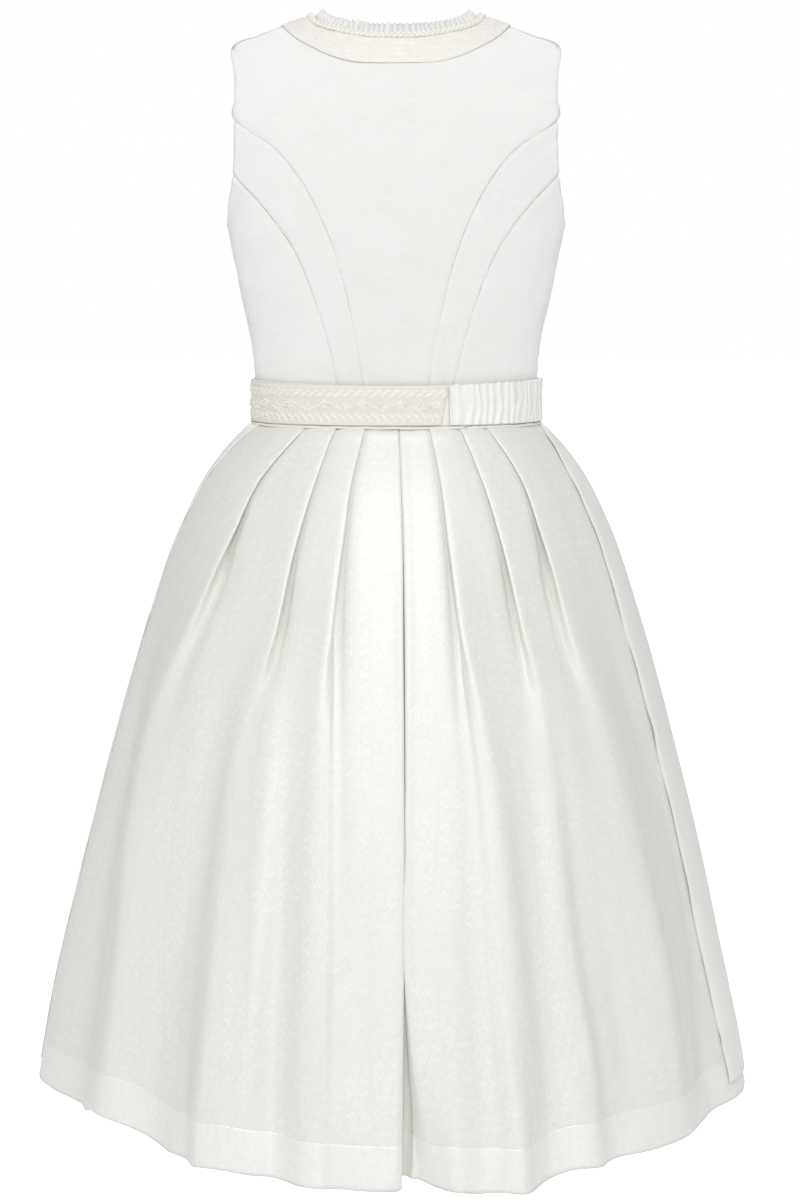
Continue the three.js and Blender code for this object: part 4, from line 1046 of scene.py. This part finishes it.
wander += smoothNoise((len(heightsFine), samples), (4, 125), 78, 0.75)
along = arcAlong(skirtSurface * [1, 1, 0], 1)
places = along / along[:, -1:] * (samples - 1)
sway = np.array([np.interp(row, np.arange(samples), line) for row, line in zip(places, wander)])
blendIn = np.minimum(1, np.minimum(columnIndex, columnIndex[::-1]) / unevenness["blend"])
wrapped = np.arange(-1, columnsFine + 1) % columnsFine
skirtNormals = gridNormals(skirtSurface[:, wrapped], outwardSkirt[:, wrapped])[:, 1:-1]
uneven = sway * blendIn * (unevenness["depth"] * drop[:, None] ** unevenness["power"])
skirtSurface = skirtSurface + skirtNormals * uneven[..., None]
rowArc = arcAlong(skirtSurface[:, wrapped[1:]], 1)
columnArc = arcAlong(skirtSurface[::-1])[::-1]

# Columns that keep their own pattern, one for each layer between the pleats, with the columns it holds for.
patternAnchors = [2, 16, 27, 40]
patternSpans = [0, 9, 14, 20, 25, 31, 36, 43]


# How far each column's pattern is shifted at each height, so that the motifs stay upright between the pleats.
def patternShift(side):
    sign, start = (1, 0) if side == "left" else (-1, columnsFine)
    places = start + sign * around * np.array(patternAnchors)
    known = start + sign * around * np.array(patternSpans)
    shifts = np.repeat(rowArc[-1, places] - rowArc[:, places], 2, axis=1)
    columns = np.arange(columnsFine + 1)
    return np.array([np.interp(columns, known[::sign], row[::sign]) for row in shifts])


def skirtUv(first, last, side):
    index = np.arange(first, last + 1)
    along = rowArc[:, index]
    if side == "front":
        middle = rowArc[:, (leftEnd + frontEnd) // 2]
        along = along - middle[:, None] + middle[-1]
    else:
        along = along + patternShift(side)[:, index]
    return np.stack([along, columnArc[:, index % columnsFine]], axis=-1)


skirtPieces = {
    "skirt_back_left": {"span": (0, leftEnd), "side": "left", "flat": (0.62, 0.66), "area": 0.328},
    "skirt_front": {"span": (leftEnd, frontEnd), "side": "front", "flat": (0.92, 0.66), "area": 0.462},
    "skirt_back_right": {"span": (frontEnd, columnsFine), "side": "right", "flat": (0.57, 0.66), "area": 0.298},
}
for name, cut in skirtPieces.items():
    first, last = cut["span"]
    index = np.arange(first, last + 1) % columnsFine
    piece = sheetPiece(name + "_cloth", skirtSurface[:, index], outwardSkirt[:, index],
                       skirtUv(first, last, cut["side"]), brocade, skirtFine["wall"], 0.0)
    declare(piece, "skirt_brocade", name, flat=cut["flat"], area=cut["area"], held="gathered", rests_on=["waistband"])

print("scene: apron")

apronCut = {"hemZ": -616.0, "gap": 0.45, "stand": 0.6, "fade": 2.5, "turn": 0.5, "turned": 6.5, "curl": 0.4,
            "curlWide": 9, "pucker": 0.55, "puckerWide": 35}


# The apron lies on the skirt, close at its side edges and standing off a little more between them.
def makeApron():
    first, last = (leftCount - 3) * around, (leftCount + frontCount + 2) * around
    index = np.arange(first, last + 1) % columnsFine
    shown = heightsFine >= apronCut["hemZ"]
    heights = heightsFine[shown]
    columns = (last - first) // around
    coarse = np.arange(columns + 1)
    inside = np.minimum(coarse, columns - coarse) > 2
    waves = np.where(inside, 1 + np.array(softWave)[(coarse - 2) % len(softWave)], 0.0)
    at = np.arange(len(index)) / around
    fromEdge = np.minimum(at, columns - at)
    rise = 1 - np.exp(-fromEdge / apronCut["fade"])
    puff = atHeights(skirtRows["z"], skirtRows["puff"], heights)[:, None]
    apart = (skirtFine["wall"] + skirtFine["apronWall"]) / 2 + apronCut["gap"] * (0.3 + 0.7 * rise)
    lift = apart + puff * (apronCut["stand"] * rise + 0.5 * splineThrough(coarse, waves, at))
    surface = skirtSurface[shown][:, index]
    outward = surface * [1, 1, 0]
    surface = surface + skirtNormals[shown][:, index] * lift[..., None]
    falls = np.clip((waistSeamZ - heights) / (waistSeamZ - apronCut["hemZ"]), 0, 1)[:, None]
    sway = np.abs(smoothNoise(surface.shape[:2], (6, 34), 93, 0.9)) * falls * np.clip(fromEdge / 3, 0, 1)
    across = arcAlong(surface, 1)
    fromSide = np.minimum(across, across[:, -1:] - across)
    shownEdge = at > columns / 2
    turned = apronCut["turn"] * shownEdge * np.clip(1.5 - fromSide / apronCut["turned"], 0, 0.5) * 2
    curl = apronCut["curl"] * shownEdge * bell(fromSide, apronCut["curlWide"]) * np.clip(-heights / 60, 0, 1)[:, None]
    pucker = smoothNoise(surface.shape[:2], (34, 60), 95, apronCut["pucker"])
    pucker *= np.exp(-fromSide / apronCut["puckerWide"]) * (0.2 + 0.8 * shownEdge)
    surface = surface + gridNormals(surface, outward) * (sway + turned + curl + pucker)[..., None]
    across = arcAlong(surface, 1)
    uv = np.stack([across - across[:, len(index) // 2][:, None], arcAlong(surface[::-1])[::-1]], axis=-1)
    piece = sheetPiece("apron_cloth", surface, outward, uv, apronSatin, skirtFine["apronWall"], 0.0)
    declare(piece, "apron_satin", "apron", flat=(1.07, 0.65), area=0.54, held="gathered",
            rests_on=["waistband", "skirt_front"])


makeApron()

print("scene: band")

band = {"half": 132.6, "back": 102.8, "front": 102, "bottom": 0.3, "top": 37, "sideRise": 3, "wall": 1.1,
        "pitch": 4, "rows": 10, "slack": 0.12}
trimLook = {"inset": 0.6, "low": 1.4, "wall": 0.9, "upper": -18.2, "lower": -15.5, "stop": 270, "pitch": 1.1,
            "rows": 35, "tabSteps": 24, "clear": 0.15, "slack": 0.18, "rise": 1.1, "middle": 18.8, "repeat": 34.0,
            "stemSwing": 3.0, "rib": 0.9}
ruchedLook = {"start": -18.9, "stop": -89.7, "pitch": 0.62, "rows": 30, "folds": 20, "depth": 1.8, "wall": 0.9,
              "over": 0.6, "gather": 0.45}
cordLook = {"start": -25.0, "stop": 334.0, "pitch": 3.0, "radius": 1.35, "off": 0.8}
lay = 0.3


def bandPlace(deg, z, out):
    x, y, depth = ringAt(deg, band["half"], band["back"], band["front"], bodyPower)
    slopes = [np.sign(at) * (np.abs(at) / far) ** (bodyPower - 1) / far for at, far in ((x, band["half"]), (y, depth))]
    normal = unit(np.stack([*slopes, np.zeros_like(x)], axis=-1))
    return np.stack([x, y, np.broadcast_to(z, x.shape)], axis=-1) + normal * np.asarray(out)[..., None], normal


def bandTop(deg):
    return band["top"] + band["sideRise"] * np.sin(np.radians(deg)) ** 2


# Degrees round the band at even distances along it.
def evenAngles(start, stop, step):
    deg = np.linspace(start, stop, 1441)
    run = arcAlong(bandPlace(deg, 0.0, np.zeros_like(deg))[0])
    at = np.linspace(0, run[-1], max(2, round(run[-1] / step)) + 1)
    return np.interp(at, run, deg), at


def makeWaistband():
    deg, run = evenAngles(ruchedLook["start"] - 1.1, ruchedLook["start"] + 358.5, band["pitch"])
    z = mix(bandTop(deg), band["bottom"], np.linspace(0, 1, band["rows"])[:, None])
    points, normal = bandPlace(np.broadcast_to(deg, z.shape), z, smoothNoise(z.shape, (3, 40), 5, band["slack"]))
    uv = np.stack([np.broadcast_to(run, z.shape), z], axis=-1)
    piece = sheetPiece("waistband_satin", points, normal, uv, bandSatin, band["wall"], 0.0)
    declare(piece, "band_satin", "waistband", flat=(0.754, 0.039), held="stretched", rests_on=["band_cord"])


# A raised oval at a place of a repeat, turned by an angle, with heights from 0 to 1.
def oval(along, across, centre, size, turn):
    a, b = along - centre[0], across - centre[1]
    c, s = math.cos(turn), math.sin(turn)
    reach = ((a * c + b * s) / size[0]) ** 2 + ((b * c - a * s) / size[1]) ** 2
    return np.sqrt(np.clip(1 - reach, 0, 1))


# Distance from the middle of the nearest repeat.
def repeated(along, pitch, offset):
    return (along + offset + pitch / 2) % pitch - pitch / 2


# Each row of leaves: its repeat and shift along the band, height from the middle, size, turn and strength.
leafRows = [
    (8.2, 0, 10.2, (5.2, 1.7), -0.5, 1.0),
    (8.2, 4.1, 13.6, (3.4, 1.2), 0.35, 0.85),
    (7.4, 2, -9.4, (4.8, 1.5), 0.62, 1.0),
    (7.4, 5, -13.4, (3.2, 1.1), -0.2, 0.8),
]
flower = {"petals": 5, "reach": 3.0, "tall": 2.9, "off": 1.5, "size": (2.0, 1.3), "rise": 0.9}


def stemHeight(along):
    return trimLook["stemSwing"] * np.sin(along * fullTurn / trimLook["repeat"])


# Leaf rows above and below, a winding stem with small flowers between them, and a rib on either edge.
def trimRelief(along, z):
    mid = z - trimLook["middle"]
    reliefs = [0.7 * np.sqrt(np.clip(1 - (mid - stemHeight(along)) ** 2, 0, 1))]
    for pitch, shift, height, size, turn, strength in leafRows:
        for step in (-1, 0, 1):
            place = repeated(along, pitch, shift) + pitch * step
            reliefs.append(strength * oval(place, mid, (0, height), size, turn))
    for k in range(flower["petals"]):
        turn = fullTurn * k / flower["petals"] + 0.3
        for flip, offset in ((1, -8.5), (-1, 8.5)):
            height = flip * (flower["reach"] - flower["off"]) + flower["tall"] * math.sin(turn)
            centre = (flower["reach"] * math.cos(turn), height)
            place = repeated(along, trimLook["repeat"], offset)
            reliefs.append(flower["rise"] * oval(place, mid, centre, flower["size"], turn))
    for edge in (z - 3, mid - 16.8):
        reliefs.append(0.75 * np.clip(1 - np.abs(edge) / trimLook["rib"], 0, 1))
    return np.maximum.reduce(reliefs)


trimDegrees, trimRun = evenAngles(trimLook["upper"], trimLook["stop"], trimLook["pitch"])
trimBase = band["wall"] / 2 + lay + trimLook["wall"] + trimLook["clear"]


def makeBandTrim():
    rows = np.linspace(0, 1, trimLook["rows"])[:, None]
    z = mix(bandTop(trimDegrees) - trimLook["inset"], band["bottom"] + trimLook["low"], rows)
    nearTab = np.clip(1 - np.arange(len(trimDegrees)) / trimLook["tabSteps"], 0, 1)
    angles = trimDegrees + (trimLook["lower"] - trimLook["upper"]) * rows * nearTab
    along = np.broadcast_to(trimRun, z.shape)
    relief = trimRelief(along, z)
    out = trimBase + smoothNoise(z.shape, (5, 70), 31, trimLook["slack"]) + trimLook["rise"] * relief
    points, normal = bandPlace(angles, z, out)
    piece = sheetPiece("band_trim_lace", points, normal, np.stack([along, z], axis=-1), bandThread, trimLook["wall"])
    # The relief kept here also paints shade into the trim's low places.
    markRelief(piece, relief)
    return declare(piece, "band_trim", "band_trim")


# Small beads in one mesh, from places, outward directions and radii.
beadSunk = 0.3


def beadPiece(name, places, normals, radii, material):
    build = bmesh.new()
    bmesh.ops.create_icosphere(build, subdivisions=2, radius=1.0)
    ball = np.array([corner.co[:] for corner in build.verts])
    faces = np.array([[corner.index for corner in face.verts] for face in build.faces])
    build.free()
    vertices = np.concatenate([p + r * ball for p, r in zip(places + normals * (radii * beadSunk)[:, None], radii)])
    triangles = np.concatenate([faces + len(ball) * k for k in range(len(places))])
    return meshPiece(name, vertices, triangles.tolist(), material)


# Pearls follow the stem and the flowers, thinning out towards the tab; fine beads fill the wearer's left side.
beadLook = {"stem": 11.0, "pearl": 0.95, "glint": 1.35, "seed": 0.6, "ring": 3.0, "denseFrom": 38.0, "denseTo": 80.0,
            "dense": 210, "clusters": [(23, 21, 10), (4, 21, 9), (-3, 22, 6), (-8, 21, 7)]}


def makeBeads():
    draw = np.random.default_rng(8)
    middle, pearlSize, ring = trimLook["middle"], beadLook["pearl"], beadLook["ring"]
    places = []
    for at in np.arange(6, trimRun[-1] - 4, beadLook["stem"]):
        places.append((at, middle + stemHeight(at), pearlSize * draw.uniform(0.8, 1.15)))
    for at in np.arange(14, trimRun[-1] - 8, trimLook["repeat"]):
        for k in range(4):
            turn = fullTurn * k / 4 + draw.uniform(0, 1)
            places.append((at + ring * math.cos(turn), middle + ring * math.sin(turn), pearlSize * 0.8))
        places.append((at, middle, beadLook["glint"]))
    for _ in range(beadLook["dense"]):
        at = np.interp(draw.uniform(beadLook["denseFrom"], beadLook["denseTo"]), trimDegrees, trimRun)
        places.append((at, draw.uniform(4, 34), beadLook["seed"] * draw.uniform(0.8, 1.4)))
    for angle, height, count in beadLook["clusters"]:
        for _ in range(count):
            at = np.interp(angle, trimDegrees, trimRun) + draw.normal(0, 4.5)
            places.append((at, height + draw.normal(0, 1.8), beadLook["seed"] * draw.uniform(1.0, 1.7)))
    along, z, radii = np.array(places).T
    out = trimBase + trimLook["rise"] * trimRelief(along, z)
    points, normal = bandPlace(np.interp(along, trimRun, trimDegrees), z, out)
    return declare(beadPiece("band_beads", points, normal, radii, pearl), "band_trim")


# Shares of a length at which folds of uneven width begin.
def foldStations(widths, total):
    return np.concatenate([[0], np.cumsum(widths)]) * total / np.sum(widths)


# The ruched end of the band: uneven upright folds that bend where the gathering line crosses them.
def makeBandRuching():
    draw = np.random.default_rng(12)
    deg, run = evenAngles(ruchedLook["start"], ruchedLook["stop"], ruchedLook["pitch"])
    folds, shape = ruchedLook["folds"], (ruchedLook["rows"], len(deg))
    widths = draw.uniform(0.7, 1.35, folds) * np.linspace(1.25, 0.72, folds)
    phase = np.interp(run, foldStations(widths, run[-1]), np.arange(folds + 1))
    rows = np.linspace(0, 1, ruchedLook["rows"])[:, None]
    fold = np.cos(fullTurn * (phase + smoothNoise(shape, (3, 20), 14, 0.16) + 0.12 * np.cos(rows * fullTurn)))
    fold = np.sign(fold) * np.abs(fold) ** 0.8
    strength = 0.72 + smoothNoise(shape, (2, 24), 15, 0.3)
    puckered = 1 + 0.12 * np.abs(fold) * bell(rows, 0.06)
    out = band["wall"] / 2 + lay + ruchedLook["wall"] + ruchedLook["depth"] * 0.5 * (1 + fold * strength)
    out = out * puckered - ruchedLook["gather"] * bell(rows - 0.5, 0.035)
    z = mix(bandTop(deg) + ruchedLook["over"], band["bottom"] + trimLook["low"], rows) + 0.5 * bell(rows, 0.08) * fold
    points, normal = bandPlace(np.broadcast_to(deg, shape), z, out)
    uv = np.stack([np.broadcast_to(arcAlong(points[shape[0] // 2]), shape), z], axis=-1)
    piece = sheetPiece("band_ruching_satin", points, normal, uv, bandSatin, ruchedLook["wall"])
    declare(piece, "band_satin", "band_ruching", flat=(0.158, 0.039), held="gathered", rests_on=["waistband"])


# The thin corded edge under the band.
def makeBandCord():
    deg, _ = evenAngles(cordLook["start"], cordLook["stop"], cordLook["pitch"])
    sway = smoothNoise((1, len(deg)), (0, 60), 17, 0.16)[0]
    out = np.full(len(deg), band["wall"] / 2 + cordLook["off"])
    points, _ = bandPlace(deg, band["bottom"] - cordLook["off"] + sway, out)
    declare(tubePiece("band_cord", [points], cordLook["radius"], cordThread), "band_trim")


makeBandCord()
makeWaistband()
trim = makeBandTrim()
beads = makeBeads()
makeBandRuching()

print("scene: neck")

neckLook = {"trimWall": 0.5, "relief": 0.55, "pitch": 0.85, "braidRadius": 1.15, "braidSwing": 2.1, "braidPitch": 9.2,
            "braidRise": 0.45, "rows": 32, "under": -0.1, "clear": 0.15, "edgeDrop": 0.55, "edgeWide": 1.2,
            "least": 0.7, "uneven": 0.75, "most": 1.2, "slack": 0.12}
ruffleLook = {"step": 0.55, "tall": 10.0, "pleat": 5.6, "wave": 1.8, "slide": 1.1, "wall": 0.5}
rings = {"pitch": 5.2, "first": 0.17, "apart": 0.22, "tall": 1.05, "radius": 1.9, "wide": 0.85}
neckRuns = {
    "back": {"curves": backNeck, "side": 1, "mirror": 1, "whole": True, "on": "back_center"},
    "front_left": {"curves": frontNeck, "side": -1, "mirror": 1, "whole": False, "on": "front_left"},
    "front_right": {"curves": frontNeck, "side": -1, "mirror": -1, "whole": False, "on": "front_right"},
}


# One neck curve as places at even distances from the centre (or from shoulder to shoulder).
def neckPlaces(run, which, count):
    line = np.asarray(run["curves"][which], float)
    if run["whole"]:
        line = np.concatenate([line[:0:-1] * [-1, 1], line])
    fine = denser(line, 12)
    length = arcAlong(bodyPlace(fine[:, 0], fine[:, 1], run["side"])[0])
    return onLine(np.linspace(0, length[-1], count), length, fine) * [run["mirror"], 1], length[-1]


# The strip of the body between two neck curves, as points, outward directions and uv.
def neckStrip(run, upper, lower, shares, step):
    _, length = neckPlaces(run, upper, 2)
    count = round(length / step) + 1
    shares = np.asarray(shares)[:, None, None]
    places = mix(neckPlaces(run, upper, count)[0], neckPlaces(run, lower, count)[0], shares)
    points, normal = bodyPlace(places[..., 0], places[..., 1], run["side"])
    wide = np.linalg.norm(points[-1] - points[0], axis=-1)
    along = np.broadcast_to(np.linspace(0, length, count), points.shape[:2])
    return points, normal, np.stack([along, shares[..., 0] * wide], axis=-1)


# A fine openwork-like texture: staggered rings with a knot in each, between two corded edges.
def neckRelief(along, across, wide):
    relief = np.zeros_like(along)
    for row in range(4):
        a = repeated(along, rings["pitch"], rings["pitch"] / 2 * (row % 2))
        b = across - wide * (rings["first"] + rings["apart"] * row)
        far = np.sqrt(a**2 + (b * rings["tall"]) ** 2)
        ring = np.clip(1 - np.abs(far - rings["radius"]) / rings["wide"], 0, 1)
        relief = np.maximum.reduce([relief, ring, 1.1 * np.clip(1 - far / rings["wide"], 0, 1)])
    edge = sum(np.clip(1 - np.abs(place) / 0.8, 0, 1) for place in (across - 0.8, across - wide + 0.8))
    return np.maximum(relief, 0.8 * edge)


def makeNeckTrim(key, run):
    points, normal, uv = neckStrip(run, "braid", "trim", np.linspace(neckLook["under"], 1, neckLook["rows"]),
                                   neckLook["pitch"])
    wide = uv[-1, :, 1]
    relief = neckRelief(uv[..., 0], uv[..., 1], wide)
    strength = neckLook["least"] + smoothNoise(relief.shape, (9, 80), 91 + len(key), neckLook["uneven"])
    relief = np.clip(relief * strength, 0, neckLook["most"])
    drop = neckLook["edgeDrop"] * np.clip(uv[..., 1] - wide + neckLook["edgeWide"], 0, 1)
    slack = smoothNoise(relief.shape, (5, 40), 61 + len(key), neckLook["slack"])
    out = bodiceWall + neckLook["trimWall"] + neckLook["clear"] - drop + neckLook["relief"] * relief + slack
    name = "neck_trim_" + key
    piece = sheetPiece(name + "_lace", points + normal * out[..., None], normal, uv, neckThread, neckLook["trimWall"])
    # The relief kept here also paints shade into the trim's low places.
    markRelief(piece, relief)
    length = float(uv[0, -1, 0]) * millimetre
    declare(piece, "neck_trim", name, flat=(length, 0.026), held="laid", rests_on=[run["on"]])


# Three strands plaited along the line between the neck edge and the trim.
def makeNeckBraid(key, run):
    points, normal, uv = neckStrip(run, "edge", "braid", (0.0, 0.5, 1.0), 0.9)
    across = unit(points[2] - points[0])
    lines, heights = [], []
    for strand in range(3):
        turn = fullTurn * (uv[1, :, 0] / (neckLook["braidPitch"] * 1.5) + strand / 3)
        swing = neckLook["braidSwing"] * np.sin(turn)
        rise = bodiceWall + lay + neckLook["braidRadius"] + neckLook["braidRise"] * np.sin(2 * turn)
        lines.append(points[1] + across * swing[:, None] + normal[1] * rise[:, None])
        # Where the strands dip between each other they get painted shade.
        heights.append(np.repeat(0.5 + 0.5 * np.sin(2 * turn), tubeSides))
    name = "neck_braid_" + key
    piece = tubePiece(name + "_plait", lines, neckLook["braidRadius"], braidThread)
    markRelief(piece, np.concatenate(heights))
    declare(piece, "neck_braid", name)


# The pleated frill that stands up inside the neck edge, all round from centre front to centre front.
def makeRuffle():
    parts = []
    for key in ("front_left", "back", "front_right"):
        points, normal, _ = neckStrip(neckRuns[key], "edge", "braid", (0.0, 1.0), 0.6)
        strip = np.concatenate([points[0], points[1], normal[0]], axis=1)
        strip = strip if key == "front_left" else strip[::-1]
        parts.append(strip[1:] if parts else strip)
    joined = np.concatenate(parts)
    run = arcAlong(joined[:, :3])
    at = np.linspace(1, run[-1] - 1, round((run[-1] - 2) / ruffleLook["step"]))
    edge, below, normal = np.split(onLine(at, run, joined), 3, axis=1)
    rise = unit(unit(edge - below) * 0.8 + [0, 0, 0.3])
    side = unit(np.gradient(edge, axis=0))
    out = unit(np.cross(side, rise))
    out *= np.where(np.sum(out * normal, axis=1, keepdims=True) < 0, -1, 1)
    pleats = round(at[-1] / ruffleLook["pleat"])
    widths = np.random.default_rng(23).uniform(0.65, 1.4, pleats)
    phase = np.interp(at, foldStations(widths, at[-1]), np.arange(pleats + 1)) * fullTurn
    heights = np.linspace(0, 1, 9)[:, None]
    lean = smoothNoise((9, len(at)), (2, 60), 24, 0.5) * heights
    fold = np.sin(phase + lean) + 0.35 * np.sin(2 * phase + 1 + lean)
    opening = ruffleLook["wave"] * (0.35 + 0.65 * heights) * (1 + smoothNoise((1, len(at)), (0, 50), 25, 0.2))
    tips = ruffleLook["tall"] + smoothNoise((1, len(at)), (0, 70), 26, 0.5)
    upward = 0.5 + heights * (tips - 0.5)
    slide = ruffleLook["slide"] * heights * np.cos(phase)
    points = edge + rise * upward[..., None] + out * (fold * opening * 0.8)[..., None] + side * slide[..., None]
    run = arcAlong(points[4])
    uv = np.stack(np.broadcast_arrays(run, heights * ruffleLook["tall"]), axis=-1)
    piece = sheetPiece("neck_ruffle_satin", points, np.broadcast_to(out, points.shape), uv, ruffleSatin,
                       ruffleLook["wall"], 0.0)
    # The ruffle's fold depth paints shade into the hollows of its pleats.
    markRelief(piece, np.clip(0.55 + 0.45 * fold, 0.05, 1))
    declare(piece, "neck_ruffle", "neck_ruffle", flat=(run[-1] * millimetre, 0.01), held="gathered",
            rests_on=["neck_braid_back"])


for key, run in neckRuns.items():
    makeNeckTrim(key, run)
    makeNeckBraid(key, run)
makeRuffle()

print("scene: floor, light and camera")

studio = {
    "floorZ": -1.22,
    "floorReach": 30.0,
    "world": 0.577,
    "lights": {
        "keyLight": {"at": (-0.06, 3.1, 1.3), "size": 2.2, "power": 42.0},
        "topLight": {"at": (0.0, 0.9, 2.2), "size": 1.8, "power": 6.0},
        "leftLight": {"at": (2.4, 1.6, 0.1), "size": 1.8, "power": 2.0},
        "frontLight": {"at": (0.0, -3.0, 0.8), "size": 2.2, "power": 30.0},
    },
    "aim": (0.0, 0.0, -0.45),
    "camera": (-0.0037, 2.3, -0.2376),
    "lookDown": 7.379,
    "lens": 74.118,
}


def makeFloor():
    mesh = bpy.data.meshes.new("studioFloor")
    corners = [(x * studio["floorReach"], y * studio["floorReach"], studio["floorZ"])
               for x, y in ((-1, -1), (1, -1), (1, 1), (-1, 1))]
    mesh.from_pydata(corners, [], [(0, 1, 2, 3)])
    floor = bpy.data.objects.new("studioFloor", mesh)
    bpy.context.collection.objects.link(floor)
    material, tree, shader = newMaterial("studioFloor", Base_Color=(0.97, 0.97, 0.97, 1), Roughness=0.9,
                                         Emission_Color=(1, 1, 1, 1))
    path = tree.nodes.new("ShaderNodeLightPath")
    tree.links.new(path.outputs["Is Camera Ray"], shader.inputs["Emission Strength"])
    mesh.materials.append(material)


# The camera sees a white ground, and the dress is lit by a softer one.
def makeWorld():
    world = bpy.data.worlds.new("studioWorld")
    bpy.context.scene.world = world
    world.use_nodes = True
    tree = world.node_tree
    tree.nodes.clear()
    choose = tree.nodes.new("ShaderNodeMixShader")
    for slot, strength in ((1, studio["world"]), (2, 1.0)):
        ground = tree.nodes.new("ShaderNodeBackground")
        ground.inputs["Color"].default_value = (1, 1, 1, 1)
        ground.inputs["Strength"].default_value = strength
        tree.links.new(ground.outputs[0], choose.inputs[slot])
    path = tree.nodes.new("ShaderNodeLightPath")
    output = tree.nodes.new("ShaderNodeOutputWorld")
    tree.links.new(path.outputs["Is Camera Ray"], choose.inputs[0])
    tree.links.new(choose.outputs[0], output.inputs[0])


def makeLight(name, setting):
    lamp = bpy.data.lights.new(name, "AREA")
    lamp.shape = "DISK"
    lamp.size = setting["size"]
    lamp.energy = setting["power"]
    light = bpy.data.objects.new(name, lamp)
    bpy.context.collection.objects.link(light)
    aim = np.array(studio["aim"]) - np.array(setting["at"])
    light.location = setting["at"]
    light.rotation_euler = (math.acos(-aim[2] / np.linalg.norm(aim)), 0, math.atan2(-aim[0], aim[1]))


def makeCamera():
    lens = bpy.data.cameras.new("viewCamera")
    lens.lens = studio["lens"]
    lens.sensor_width = 36
    lens.clip_end = 100
    camera = bpy.data.objects.new("viewCamera", lens)
    camera.location = studio["camera"]
    camera.rotation_euler = (math.radians(90 - studio["lookDown"]), 0, math.pi)
    bpy.context.collection.objects.link(camera)
    bpy.context.scene.camera = camera


makeFloor()
makeWorld()
for name, setting in studio["lights"].items():
    makeLight(name, setting)
makeCamera()
bpy.context.scene.view_settings.view_transform = "Standard"
bpy.context.scene.view_settings.look = "None"
